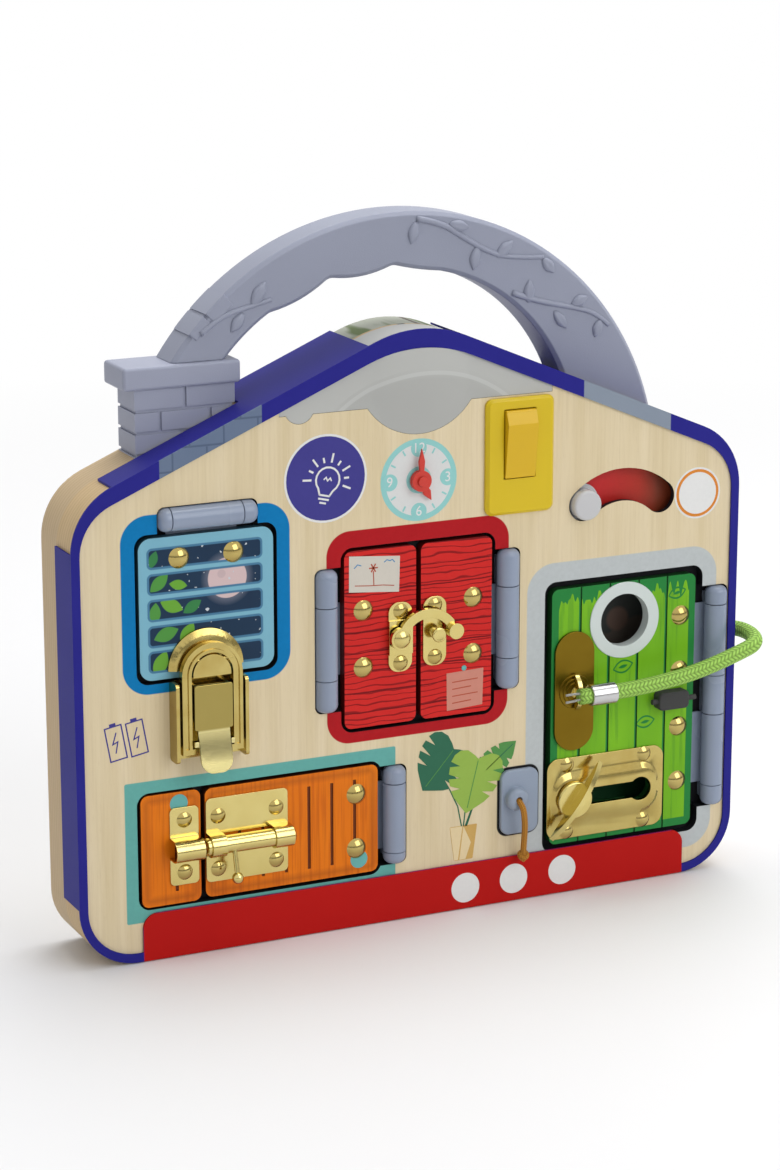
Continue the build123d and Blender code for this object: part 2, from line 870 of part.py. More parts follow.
arch_floor = roof_z(half_width)
outer_left_x = -sqrt(arch_outer_radius**2 - (cap_height - arch_z) ** 2)
inner_left_x = -sqrt(arch_left_inner_radius**2 - (cap_height - arch_z) ** 2)
outer_right_x = sqrt(arch_outer_radius**2 - (arch_floor - arch_z) ** 2)
foot_x = arch_right_x + sqrt(arch_right_radius**2 - (arch_floor - arch_right_z) ** 2)
start = grip_point(*grip_start)
valleys = [start, *[grip_point(*valley) for valley in grip_valleys], inner_right_point(grip_end_angle)]
outline = ThreePointArc(
    (outer_left_x, cap_height), (arch_x, arch_z + arch_outer_radius), (outer_right_x, arch_floor)
)
outline += Line((outer_right_x, arch_floor), (foot_x, arch_floor))
outline += ThreePointArc((foot_x, arch_floor), inner_right_point(arch_right_middle_angle), valleys[-1])
for index in range(len(grip_bumps) - 1, -1, -1):
    outline += ThreePointArc(valleys[index + 1], grip_point(*grip_bumps[index]), valleys[index])
left_mid = circle_point(arch_x, arch_z, arch_left_inner_radius, arch_left_middle_angle)
outline += ThreePointArc(start, left_mid, (inner_left_x, cap_height))
outline += Line((inner_left_x, cap_height), (outer_left_x, cap_height))
arch_face = rounded(make_face(outline), [(x, z, grip_valley_radius) for x, z in valleys])
arch = face_plate(arch_face, arch_front, arch_back)
arch_rims = [edge for face in arch.faces().filter_by(Axis.Y) for edge in face.edges()]
arch = chamfer([edge for edge in arch_rims if edge.geom_type == GeomType.CIRCLE], arch_edge)
arch = arch - face_plate(house(), arch_front, arch_back)
arch_tenon_zone = face_plate(arch_face + house(), arch_front, arch_back)
arch = arch + (tenon(arch_tenon_left, arch_tenon_right) & arch_tenon_zone)
write("handle_arch", arch)

# Chimney: a bricked body, and a cap that carries the arch's left foot
chimney_low = roof_z(chimney_left) - brick_height
chimney = block(chimney_left, chimney_right, arch_front, arch_back, chimney_low, chimney_height)
joint_zs = [chimney_height - index * brick_height for index in range(1, brick_rows)]
for level in joint_zs:
    joint_low = level - brick_joint / 2
    band = block(chimney_left, chimney_right, arch_front, arch_back, joint_low, joint_low + brick_joint)
    core = block(
        chimney_left + brick_joint_depth,
        chimney_right - brick_joint_depth,
        arch_front + brick_joint_depth,
        arch_back - brick_joint_depth,
        level - brick_joint,
        level + brick_joint,
    )
    chimney -= band - core
brick_width = (chimney_right - chimney_left) / brick_columns
for row, level in enumerate([chimney_height] + joint_zs):
    stagger = brick_width / 2 if row % 2 else 0.0
    for column in range(1, brick_columns + row % 2):
        x = chimney_left + column * brick_width - stagger
        edges = (x - brick_joint / 2, x + brick_joint / 2)
        slot = block(*edges, arch_front, arch_front + brick_joint_depth, level - brick_height, level)
        chimney -= slot
        chimney -= Pos(0, arch_back - arch_front - brick_joint_depth, 0) * slot
chimney -= face_plate(house(), arch_front, arch_back)
chimney_tenon = tenon(chimney_tenon_left, chimney_tenon_right)
chimney += chimney_tenon & block(chimney_left, chimney_right, arch_front, arch_back, 0, joint_zs[-1])
cap_near = arch_front - cap_overhang
cap = block(cap_left, cap_right, cap_near, arch_back + cap_overhang, chimney_height, cap_height)
cap = fillet(cap.edges(), cap_round)
write("chimney", chimney + cap)

# Lamp cover: a translucent shell over the light board
lamp = face_plate(lamp_outline, front, front + lamp_cavity_depth)
hollow = offset(lamp_outline, -lamp_wall, kind=Kind.INTERSECTION)
lamp -= face_plate(hollow, front + lamp_wall, front + lamp_cavity_depth)
dome_ball = (lamp_dome_radius**2 + lamp_dome_height**2) / (2 * lamp_dome_height)
dome_z = ridge_height - lamp_dome_drop
dome = Pos(0, front - lamp_dome_height + dome_ball, dome_z) * Sphere(dome_ball)
dome_outline = disc(0, dome_z, lamp_dome_radius) & card_window & lamp_outline
dome = dome & face_plate(dome_outline, front - lamp_dome_height, front)
lamp += dome
write("lamp_cover", lamp)

light_board_back = front + lamp_cavity_depth
light_board_box = (
    -light_board_length / 2,
    light_board_length / 2,
    light_board_z - light_board_height / 2,
    light_board_z + light_board_height / 2,
)
light_seat = light_board_back - light_board_thickness
light_board = face_plate(box_outline(light_board_box), light_seat, light_board_back)
lights = []
for x in (-light_spread, 0, light_spread):
    bulb = peg(x, light_board_z, light_radius, light_seat - light_length, light_seat)
    lights.append(fillet(bulb.edges().sort_by(Axis.Y)[0], light_radius * light_round_share))
write("light_board", light_board, *lights)

# Window shutter with the strike of the toggle latch
write("window_panel", door(window_box, window_rivets, recess_round))
write("window_rivets", *[rivet(x, z, front, leaf_back) for x, z in window_rivets])
strike_box = (latch_x - strike_radius, latch_x + strike_radius, strike_z, strike_z + strike_radius)
strike_half = box_outline(strike_box)
strike = face_plate(disc(latch_x, strike_z, strike_radius) & strike_half, front - strike_plate, front)
cone_height = strike_cone_height - strike_plate
cone_place = Pos(latch_x, front - strike_plate - cone_height / 2, strike_z)
cone = cone_place * Rot(90, 0, 0) * Cone(strike_radius, strike_cone_radius, cone_height)
strike += cone & face_plate(strike_half, front - strike_cone_height, front)
boss_low = bail_arch_z - base_plate
boss_box = (latch_x - boss_radius, latch_x + boss_radius, boss_low, bail_arch_z + boss_radius)
boss_outline = disc(latch_x, bail_arch_z, boss_radius) & box_outline(boss_box)
strike += face_plate(boss_outline, front - boss_front, front - strike_plate)
bail_middle = front - bail_back - bail_thickness / 2
pin_start = (latch_x - bail_pivot_half, bail_middle, bail_pivot_z)
strike += bar(pin_start, (1, 0, 0), bail_pivot_radius, 2 * bail_pivot_half)
write("window_strike", strike)


def hairpin(outer, inner, foot):
    """An upside-down U in the front view, its arch centred on the latch."""
    shapes = []
    for radius in (outer, inner):
        legs = box_outline((latch_x - radius, latch_x + radius, foot, bail_arch_z))
        shapes.append(disc(latch_x, bail_arch_z, radius) + legs)
    return shapes[0] - shapes[1]


bail_front = front - bail_back - bail_thickness
bail_outline = hairpin(bail_outer_radius, bail_inner_radius, bail_foot_z)
bail = face_plate(bail_outline, bail_front, front - bail_back)
groove_middle = (bail_outer_radius + bail_inner_radius) / 2
groove_half = bail_groove_width / 2
hook_top = bail_foot_z + bail_hook_height
groove = hairpin(groove_middle + groove_half, groove_middle - groove_half, hook_top)
bail -= face_plate(groove, bail_front, bail_front + bail_groove_depth)
for side in (-1, 1):
    hook_edge = latch_x + side * (bail_inner_radius - bail_hook_width)
    edges = sorted((hook_edge, latch_x + side * bail_outer_radius))
    bail += block(*edges, bail_front, front - bail_back, bail_foot_z, hook_top)
bail_bore_half = bail_pivot_half + bail_pivot_gap
bore_start = (latch_x - bail_bore_half, bail_middle, bail_pivot_z)
bail -= bar(bore_start, (1, 0, 0), bail_pivot_radius + bail_pivot_gap, 2 * bail_bore_half)
write("latch_bail", bail)

# Base and lever of the toggle latch
base_box = (latch_x - base_half_width, latch_x + base_half_width, base_low, base_high)
latch_base = face_plate(box_outline(base_box, sheet_round), front - base_plate, front)
pivot_y = front - lever_pivot_stand
for side in (-1, 1):
    wall_x = latch_x + side * (base_half_width - base_wall / 2)
    wall_outline = RectangleRounded(base_wall_height, base_high - base_low, ear_radius)
    wall_outline = Pos(front - base_wall_height / 2, (base_low + base_high) / 2) * wall_outline
    latch_base += extrude(Plane.YZ.offset(wall_x - base_wall / 2) * wall_outline, amount=base_wall)
    ear_x = latch_x + side * (ear_inner + ear_thickness / 2)
    ear_left = ear_x - ear_thickness / 2
    ear_low = lever_pivot_z - ear_radius
    ear = block(ear_left, ear_left + ear_thickness, pivot_y, front, ear_low, ear_low + 2 * ear_radius)
    ear += bar((ear_left, pivot_y, lever_pivot_z), (1, 0, 0), ear_radius, ear_thickness)
    latch_base += ear
pin_start = (latch_x - ear_inner, pivot_y, lever_pivot_z)
latch_base += bar(pin_start, (1, 0, 0), lever_pin_radius, 2 * ear_inner)
latch_base -= block(latch_x - half_width, latch_x + half_width, front, back, 0, ridge_height)
write("latch_base", latch_base)

lever_far = front - lever_back
lever_near = lever_far - lever_thickness
lever_box = (latch_x - lever_half_width, latch_x + lever_half_width, lever_shoulder, lever_top)
lever = face_plate(box_outline(lever_box, base_plate), lever_near, lever_far)
tongue_path = Plane.YZ * make_face(
    Polyline(
        (lever_far, lever_shoulder + lever_thickness),
        (lever_far, lever_shoulder - lever_thickness),
        (lever_far - tongue_curl, tongue_low),
        (lever_far - tongue_curl - lever_thickness, tongue_low),
        (lever_near, lever_shoulder - lever_thickness),
        (lever_near, lever_shoulder + lever_thickness),
        close=True,
    )
)
tongue = extrude(Pos(latch_x - tongue_half_width, 0, 0) * tongue_path, amount=2 * tongue_half_width)
tongue_box = (latch_x - tongue_half_width, latch_x + tongue_half_width, tongue_low, lever_top)
tongue = tongue & face_plate(box_outline(tongue_box, tongue_round), front - half_width, front)
lever += tongue
hub_left = latch_x - lever_hub_half
hub_right = latch_x + lever_hub_half
hub_low = lever_pivot_z - lever_hub_radius
lever += block(hub_left, hub_right, lever_far, pivot_y, hub_low, hub_low + 2 * lever_hub_radius)
lever += bar((hub_left, pivot_y, lever_pivot_z), (1, 0, 0), lever_hub_radius, hub_right - hub_left)
lug_y = lever_far - tongue_curl * (lever_shoulder - lug_high) / (lever_shoulder - tongue_low)
for side in (-1, 1):
    lug_x = latch_x + side * tongue_half_width
    lug_near = lug_y - lug_thickness / 2
    lever += block(lug_x - lug_reach, lug_x + lug_reach, lug_near, lug_y + lug_thickness, lug_low, lug_high)
lever_bore_radius = lever_pin_radius + lever_pin_gap
lever -= bar((hub_left, pivot_y, lever_pivot_z), (1, 0, 0), lever_bore_radius, hub_right - hub_left)
write("latch_lever", lever)

# Red doors with the two plates of the swing hasp
hasp_left_rivets = [(hasp_left[0], hasp_left[1] + side * hasp_rivet_reach) for side in (-1, 1)]
hasp_right_rivets = [(hasp_right[0], hasp_right[1] + side * hasp_rivet_reach) for side in (-1, 1)]
write("red_door_left", door(red_left_box, red_left_rivets + hasp_left_rivets))
write("red_door_right", door(red_right_box, red_right_rivets + hasp_right_rivets))
plate_front = front - hasp_plate_thickness


def small_rivets(points, seat):
    return [rivet(x, z, seat, door_back, small_rivet_radius, small_rivet_height) for x, z in points]


def hasp_plate(place, rivets):
    """A strap with round ends and a hole for each rivet."""
    x, z = place
    half_height = hasp_plate_height / 2
    half_strap = hasp_plate_width / 2
    strap_box = (x - half_strap, x + half_strap, z - half_height, z + half_height)
    strap = box_outline(strap_box, half_strap - hasp_collar_thickness)
    plate = face_plate(strap, plate_front, front)
    for hole in shank_holes(rivets, plate_front, front):
        plate -= hole
    return plate


left_plate = hasp_plate(hasp_left, hasp_left_rivets)
collar_box = (
    hasp_left[0] - hasp_plate_width / 2,
    hasp_left[0] + hasp_plate_width / 2,
    hasp_left[1] - hasp_collar_height / 2,
    hasp_left[1] + hasp_collar_height / 2,
)
left_plate += face_plate(box_outline(collar_box), plate_front - hasp_collar_thickness, plate_front)
arm_far = front - arm_back
arm_near = arm_far - arm_thickness
head_seat = arm_near - hasp_pivot_gap
left_plate += peg(hasp_pivot_x, hasp_pivot_z, hasp_pivot_radius, head_seat, plate_front)
left_plate += rivet(hasp_pivot_x, hasp_pivot_z, head_seat, arm_near, hasp_head_radius, hasp_head_height)
write("hasp_plate", left_plate)
write(
    "red_left_rivets",
    *[rivet(x, z, front, leaf_back) for x, z in red_left_rivets],
    *small_rivets(hasp_left_rivets, plate_front),
)

right_plate = hasp_plate(hasp_right, hasp_right_rivets)
staple_z = hasp_right[1] + staple_offset_z
staple_near = front - staple_height
right_plate += peg(hasp_right[0], staple_z, staple_neck_radius, staple_near, plate_front)
knob_edge = staple_edge_width / 2
knob_middle = staple_radius - knob_edge
staple_rim = Torus(knob_middle, knob_edge + shank_gap)
right_plate += Pos(hasp_right[0], staple_near, staple_z) * Rot(90, 0, 0) * staple_rim
right_plate += peg(hasp_right[0], staple_z, knob_middle, staple_near - knob_edge, staple_near + knob_edge)
write("hasp_staple", right_plate)
write(
    "red_right_rivets",
    *[rivet(x, z, front, leaf_back) for x, z in red_right_rivets],
    *small_rivets(hasp_right_rivets, plate_front),
)

arm_centre = (hasp_pivot_x + arm_arc_offset[0], hasp_pivot_z + arm_arc_offset[1])
arm_tip = (
    arm_centre[0] + arm_arc_radius * cos(radians(arm_tip_angle)),
    arm_centre[1] + arm_arc_radius * sin(radians(arm_tip_angle)),
)
arm_ring = disc(*arm_centre, arm_arc_radius + arm_width / 2)
arm_ring -= disc(*arm_centre, arm_arc_radius - arm_width / 2)
arm_keep = Polyline(
    (hasp_pivot_x, hasp_pivot_z),
    (hasp_pivot_x, hasp_pivot_z + hasp_plate_height),
    (arm_tip[0], arm_tip[1] + hasp_plate_height),
    arm_tip,
    arm_centre,
    close=True,
)
arm_outline = arm_ring & make_face(arm_keep)
arm_outline += disc(hasp_pivot_x, hasp_pivot_z, arm_root_radius)
arm_outline += disc(*arm_tip, arm_tip_radius)
arm = face_plate(arm_outline, arm_near, arm_far)
arm += peg(*arm_tip, arm_tip_radius, arm_far - arm_tip_height, arm_far)
arm -= peg(hasp_pivot_x, hasp_pivot_z, hasp_pivot_radius + hasp_pivot_gap, arm_near, arm_far)
write("hasp_arm", arm)


# Orange door, its fixed panel and the slide bolt
def planked(panel, box):
    """The panel with vertical plank grooves inside its frame."""
    x = box[1] - orange_frame - orange_plank_pitch / 2
    while x > box[0] + orange_frame:
        edges = (x - orange_groove_width / 2, x + orange_groove_width / 2)
        ends = (box[2] + orange_frame, box[3] - orange_frame)
        panel -= block(*edges, front, front + plank_groove_depth, *ends)
        x -= orange_plank_pitch
    return panel


guide_rivets = [
    (guide_box[0] + guide_rivet_inset[0], guide_box[2] + guide_rivet_inset[1]),
    (guide_box[1] - guide_rivet_inset[0], guide_box[2] + guide_rivet_inset[1]),
    (guide_box[0] + guide_rivet_inset[0], guide_box[3] - guide_rivet_top_inset),
    (guide_box[1] - guide_rivet_inset[0], guide_box[3] - guide_rivet_top_inset),
]
keeper_middle = (keeper_box[0] + keeper_box[1]) / 2
keeper_rivets = [
    (keeper_middle, keeper_box[2] + guide_rivet_inset[1]),
    (keeper_middle, keeper_box[3] - guide_rivet_inset[1]),
]
orange_door = planked(door(orange_box, orange_rivets + guide_rivets), orange_box)
write("orange_door", orange_door)
fixed_orange = door(fixed_orange_box, keeper_rivets, door_round, recess_floor)
write("orange_fixed_panel", planked(fixed_orange, fixed_orange_box))
sheet_front = front - sheet_thickness
write(
    "orange_rivets",
    *[rivet(x, z, front, leaf_back) for x, z in orange_rivets],
    *small_rivets(guide_rivets, sheet_front),
)
write("keeper_rivets", *small_rivets(keeper_rivets, sheet_front))
bolt_y = front - bolt_stand
hoop_inner = bolt_radius + bolt_clearance


def hoop(left, right):
    """A sheet arch over the bolt from X = left to right, with straight sides down to the plate."""
    outer_radius = hoop_inner + hoop_wall
    outer = bar((left, bolt_y, bolt_z), (1, 0, 0), outer_radius, right - left)
    outer += block(left, right, bolt_y, front, bolt_z - outer_radius, bolt_z + outer_radius)
    return outer & block(left, right, bolt_y - outer_radius, front, 0, ridge_height)


def hoop_bore(left, right):
    bore = bar((left, bolt_y, bolt_z), (1, 0, 0), hoop_inner, right - left)
    return bore + block(left, right, bolt_y, front, bolt_z - hoop_inner, bolt_z + hoop_inner)


def bolt_plate(box, rivets, hoops):
    plate = face_plate(box_outline(box, sheet_round), sheet_front, front)
    for left, right in hoops:
        plate += hoop(left, right)
    plate -= hoop_bore(box[0], box[1])
    for hole in shank_holes(rivets, sheet_front, front):
        plate -= hole
    return plate


guide_spans = [(guide_box[0] + low, guide_box[0] + high) for low, high in guide_hoops]
guide = bolt_plate(guide_box, guide_rivets, guide_spans)
write("bolt_guide", guide)
write("bolt_keeper", bolt_plate(keeper_box, keeper_rivets, [(keeper_box[0], keeper_box[1])]))
slide_bolt = bar((bolt_left, bolt_y, bolt_z), (1, 0, 0), bolt_radius, bolt_right - bolt_left)
slide_bolt = chamfer(slide_bolt.edges(), sheet_thickness)
stem_start = Vector(bolt_handle_x, bolt_y - bolt_radius / 2, bolt_z)
stem_way = Vector(0, -sin(radians(bolt_lean)), -cos(radians(bolt_lean)))
slide_bolt += bar(stem_start, stem_way, bolt_stem_radius, bolt_stem_length)
slide_bolt += Pos(*(stem_start + stem_way * bolt_stem_length)) * Sphere(bolt_ball_radius)
write("slide_bolt", slide_bolt)

# Green door
slot_rivet_xs = (slot_plate_box[0] + slot_rivet_side_inset, slot_plate_box[1] - slot_rivet_side_inset)
slot_rivet_zs = (slot_plate_box[2] + slot_rivet_end_inset, slot_plate_box[3] - slot_rivet_end_inset)
slot_rivets = [(x, z) for x in slot_rivet_xs for z in slot_rivet_zs]


def slot_outline(margin=0.0):
    half = slot_half_width + margin
    straight = box_outline((slot_left, slot_right, slot_z - half, slot_z + half))
    return straight + disc(slot_left, slot_z, half) + disc(slot_right, slot_z, slot_end_radius + margin)


green_door = door(green_box, green_rivets + slot_rivets)
plank_width = (green_box[1] - green_box[0]) / plank_share
for index in range(1, plank_share):
    x = green_box[0] + index * plank_width
    edges = (x - plank_groove_width / 2, x + plank_groove_width / 2)
    green_door -= block(*edges, front, front + plank_groove_depth, green_box[2], green_box[3])
green_door -= peg(porthole_x, porthole_z, porthole_radius, front, door_back)
green_door -= peg(lock_x, lock_z, key_stem_radius + key_stem_gap, front, door_back)
green_door -= face_plate(slot_outline(door_slot_margin), front, door_back)
write("green_door", green_door)
ring = peg(porthole_x, porthole_z, porthole_radius, front, door_back)
ring += peg(porthole_x, porthole_z, porthole_radius + porthole_lip_width, front - porthole_lip, front)
ring = chamfer(ring.faces().sort_by(Axis.Y)[0].edges(), porthole_lip / 2)
ring -= peg(porthole_x, porthole_z, porthole_bore, front - porthole_lip, door_back)
write("porthole_ring", ring)

plate_near = front - sheet_thickness
rise_box = (
    slot_plate_box[0] + slot_rise_side_inset,
    slot_plate_box[1] - slot_rise_side_inset,
    slot_plate_box[2] + slot_rise_inset,
    slot_plate_box[3] - slot_rise_inset,
)
slot_plate = face_plate(box_outline(slot_plate_box, slot_plate_round), plate_near, front)
rise_near = plate_near - slot_rise_height
rise_low = Plane.XZ.offset(-plate_near) * box_outline(rise_box, slot_rise_round)
rise_high = Plane.XZ.offset(-rise_near) * box_outline(rise_box, slot_rise_round, -slot_rise_slope)
slot_plate += loft([rise_low.face(), rise_high.face()])
slot_plate -= face_plate(slot_outline(), rise_near, front)
for hole in shank_holes(slot_rivets, plate_near, front):
    slot_plate -= hole
write("slot_plate", slot_plate)
write(
    "green_rivets",
    *[rivet(x, z, front, leaf_back) for x, z in green_rivets],
    *small_rivets(slot_rivets, plate_near),
)

shoe_near = rise_near - shoe_play - shoe_flange
shoe_back = door_back + shoe_play + shoe_flange
shoe = peg(slot_left, slot_z, shoe_radius, shoe_near, shoe_back)
shoe += peg(slot_left, slot_z, shoe_flange_radius, shoe_near, shoe_near + shoe_flange)
shoe += peg(slot_left, slot_z, shoe_back_flange_radius, shoe_back - shoe_flange, shoe_back)
shoe -= peg(slot_left, slot_z, shoe_bore_radius, shoe_near, shoe_back)
write("slot_shoe", shoe)

turn_far = shoe_near - shoe_play
turn_near = turn_far - turn_disc
turn = peg(slot_left, slot_z, turn_disc_radius, turn_near, turn_far)
turn = fillet(turn.edges().sort_by(Axis.Y)[0], shoe_flange)
turn += peg(slot_left, slot_z, shoe_bore_radius - turn_pin_gap, turn_far, shoe_back + shoe_flange)
turn += peg(slot_left, slot_z, shoe_radius, shoe_back + shoe_play, shoe_back + shoe_play + shoe_flange)


def wing(length, height, thickness, base):
    """A thin arched grip along +X, rising towards -Y from the plane Y = base."""
    ends = ((-length / 2, 0), (length / 2, 0))
    profile = Line(*ends) + ThreePointArc(ends[1], (0, -height), ends[0])
    return Pos(0, base, -thickness / 2) * extrude(Plane.XY * make_face(profile), amount=thickness)


turn_wing = wing(wing_length, wing_height, wing_thickness, turn_near)
turn += Pos(slot_left, 0, slot_z) * Rot(0, -wing_angle, 0) * turn_wing
write("thumb_turn", turn)

# Lock plate, key and the tethered cord
plate_outline = RectangleRounded(escutcheon_width, escutcheon_height, escutcheon_round)
ring_near = front - escutcheon_thickness
escutcheon = face_plate(Pos(lock_x, lock_z) * plate_outline, ring_near, front)
for ring_radius in lock_ring_radii:
    ring_far = ring_near
    ring_near = ring_far - lock_ring_step
    escutcheon += peg(lock_x, lock_z, ring_radius, ring_near, ring_far)
escutcheon -= peg(lock_x, lock_z, key_stem_radius + key_stem_gap, ring_near, front)
write("escutcheon", escutcheon)
key = peg(lock_x, lock_z, key_stem_radius, ring_near, door_back)
blade = wing(key_blade_length, key_blade_reach, key_blade_thickness, 0.0)
key += Pos(lock_x, ring_near, lock_z) * Rot(0, 90, 0) * blade
write("key", key)
cord_y = front - cord_stand
cord_z = lock_z + cord_rise
ferrule = bar((ferrule_left, cord_y, cord_z), (1, 0, 0), ferrule_radius, ferrule_length)
ferrule = fillet(ferrule.edges(), ferrule_lip)
ferrule -= bar((ferrule_left, cord_y, cord_z), (1, 0, 0), cord_radius + cord_bore_gap, ferrule_length)
write("ferrule", ferrule)


def tube(points, radius, name):
    """A cord along straight runs and tangent arcs, each arc as large as its runs allow."""
    path = [Vector(*point) for point in points]
    radii = []
    for before, at, after in zip(path, path[1:], path[2:]):
        turn_angle = (at - before).get_angle(after - at)
        shorter = min((at - before).length, (after - at).length)
        half_turn = radians(turn_angle / 2)
        radii.append(bend_share * shorter * cos(half_turn) / sin(half_turn))
    line = FilletPolyline(*path, radius=radii)
    section = Plane(origin=line @ 0, z_dir=line % 0) * Circle(radius)
    solid = sweep(section, path=line)
    print(name, "radii", [round(r, 1) for r in radii], "length", round(line.length, 1))
    print(name, "volume", round(solid.volume), "section by length", round(pi * radius**2 * line.length))
    return solid


write("green_cord", tube(((cord_start_x, cord_y, cord_z), *cord_route), cord_radius, "green cord"))

clip = face_plate(box_outline(clip_box, sheet_round), front - clip_height, front)
clip = fillet(clip.faces().sort_by(Axis.Y)[0].edges(), sheet_thickness)
clip_rod_z = (clip_box[2] + clip_box[3]) / 2
rod_start = (clip_rod_left, front - clip_rod_stand, clip_rod_z)
clip += bar(rod_start, (1, 0, 0), clip_rod_radius, clip_rod_right - clip_rod_left)
write("cord_clip", clip)

# Knob plate and its string
knob = face_plate(box_outline(knob_plate_box, knob_plate_round), front - knob_plate_thickness, front)
knob = fillet(knob.faces().sort_by(Axis.Y)[0].edges(), sheet_thickness)
knob_near = front - knob_plate_thickness - knob_height
stud = peg(knob_x, knob_z, knob_radius, knob_near, front)
knob += fillet(stud.edges().sort_by(Axis.Y)[0], knob_height / 2)
string_root = knob_near + string_bore_depth
knob -= peg(knob_x, knob_z, string_radius + string_bore_gap, knob_near, string_root)
write("knob_plate", knob)
write("orange_cord", tube(((knob_x, string_root, knob_z), *string_route), string_radius, "orange cord"))

# Clock: a shouldered pin with two loose hands
hour_far = front - hour_hand_stand
hour_near = hour_far - hand_thickness
minute_far = hour_near - hand_gap
minute_near = minute_far - hand_thickness
pin = peg(clock_x, clock_z, clock_pin_radius, minute_near - hand_gap, front + recess_depth)
clock_head_far = minute_near - hand_gap
pin += peg(clock_x, clock_z, clock_head_radius, clock_head_far - clock_head_height, clock_head_far)
pin += peg(clock_x, clock_z, clock_head_radius, hour_far + hand_gap / 2, front)
write("clock_pin", pin)


def hand(reach, tip_width, near, far, angle):
    """A hand pointing up, turned by an angle in degrees."""
    half = tip_width / 2
    shaft = make_face(
        Polyline(
            (-half / 2, 0),
            (-half, reach * hand_shoulder_share),
            (0, reach),
            (half, reach * hand_shoulder_share),
            (half / 2, 0),
            close=True,
        )
    )
    outline = shaft + Circle(hand_hub_radius)
    bore = Circle(clock_pin_radius + clock_pin_gap)
    solid = face_plate(outline, near, far) - face_plate(bore, near, far)
    return Pos(clock_x, 0, clock_z) * Rot(0, -angle, 0) * solid


write("hour_hand", hand(hour_reach, hour_tip_width, hour_near, hour_far, hour_hand_angle))
write("minute_hand", hand(minute_reach, minute_tip_width, minute_near, minute_far, 0.0))

# Arc slot backing and the button that slides along it
backing_near = front + arc_backing_top
backing_band = arc_band(arc_radius, arc_half_width + arc_undercut - arc_fit, arc_half_angle)
write("slot_backing", face_plate(backing_band, backing_near, 0))
button_x = arc_x + arc_radius * cos(radians(arc_button_angle))
button_z = arc_z + arc_radius * sin(radians(arc_button_angle))
flange_near = front + arc_lip + button_flange_gap
button = peg(button_x, button_z, button_radius, front - button_stand, flange_near)
button = fillet(button.edges().sort_by(Axis.Y)[0], button_round)
button += peg(button_x, button_z, button_flange_radius, flange_near, flange_near + button_flange)
write("slide_button", button)

# Switch plate and rocker
switch_near = front - switch_plate_thickness
switch_plate = face_plate(box_outline(switch_box, switch_plate_round), switch_near, front)
switch_plate = chamfer(switch_plate.faces().sort_by(Axis.Y)[0].edges(), switch_plate_bevel)
switch_plate -= face_plate(box_outline(rocker_box, 0.0, rocker_gap), switch_near, front)
rocker_z = (rocker_box[2] + rocker_box[3]) / 2
rocker_y = front + rocker_axis_depth
bore_start = (rocker_box[0] - switch_well_margin, rocker_y, rocker_z)
bore_length = rocker_box[1] - rocker_box[0] + 2 * switch_well_margin
rocker_bore = bar(bore_start, (1, 0, 0), rocker_pin_radius + rocker_pin_gap, bore_length)
write("switch_plate", switch_plate - rocker_bore)
rocker_break = rocker_box[2] + rocker_break_share * (rocker_box[3] - rocker_box[2])
profile = Plane.YZ * make_face(
    Polyline(
        (switch_near - rocker_low_stand, rocker_box[2]),
        (switch_near - rocker_break_stand, rocker_break),
        (switch_near - rocker_top_stand, rocker_box[3]),
        (front, rocker_box[3]),
        (front + rocker_depth, rocker_z),
        (front, rocker_box[2]),
        close=True,
    )
)
rocker = extrude(Pos(rocker_box[0], 0, 0) * profile, amount=rocker_box[1] - rocker_box[0])
rocker = fillet(rocker.edges().filter_by(Axis.X).sort_by(Axis.Y)[0:2], rocker_round)
pin_start = (rocker_box[0] - rocker_pin_reach, rocker_y, rocker_z)
pin_length = rocker_box[1] - rocker_box[0] + 2 * rocker_pin_reach
rocker += bar(pin_start, (1, 0, 0), rocker_pin_radius, pin_length)
write("rocker", rocker)
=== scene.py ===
"""Looks of a wooden latch board.

A house-shaped board with four small doors, each with its own lock, and a carrying arch.
"""

import json
import logging
import math
from collections.abc import Sequence
from dataclasses import dataclass
from enum import Enum

import bmesh
import bpy
from mathutils import Matrix, Vector

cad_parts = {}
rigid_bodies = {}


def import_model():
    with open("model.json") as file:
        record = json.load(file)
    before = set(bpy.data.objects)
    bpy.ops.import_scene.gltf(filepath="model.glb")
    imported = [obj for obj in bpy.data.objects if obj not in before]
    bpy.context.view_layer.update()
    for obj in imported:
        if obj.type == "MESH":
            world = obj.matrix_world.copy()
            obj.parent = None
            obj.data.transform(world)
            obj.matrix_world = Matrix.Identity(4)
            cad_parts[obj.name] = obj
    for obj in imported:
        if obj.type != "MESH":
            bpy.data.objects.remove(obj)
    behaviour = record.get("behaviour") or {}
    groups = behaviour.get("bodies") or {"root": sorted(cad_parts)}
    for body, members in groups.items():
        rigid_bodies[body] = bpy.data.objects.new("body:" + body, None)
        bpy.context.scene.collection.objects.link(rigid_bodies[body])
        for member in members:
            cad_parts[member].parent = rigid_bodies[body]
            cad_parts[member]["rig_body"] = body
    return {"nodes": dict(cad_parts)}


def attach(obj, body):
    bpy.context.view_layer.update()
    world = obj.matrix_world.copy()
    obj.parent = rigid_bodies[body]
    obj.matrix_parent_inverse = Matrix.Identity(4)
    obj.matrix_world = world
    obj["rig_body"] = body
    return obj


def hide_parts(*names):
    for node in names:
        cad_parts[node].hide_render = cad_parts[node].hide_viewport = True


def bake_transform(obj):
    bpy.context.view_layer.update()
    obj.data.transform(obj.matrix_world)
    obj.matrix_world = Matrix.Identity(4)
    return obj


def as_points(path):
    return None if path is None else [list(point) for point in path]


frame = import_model()

LOG = logging.getLogger("latch_board")
MM = 0.001
FRONT = -18.0
PAINTED_FACE = -17.93
MERGE_DISTANCE = 0.00001
FLAT_ANGLE = math.radians(0.4)

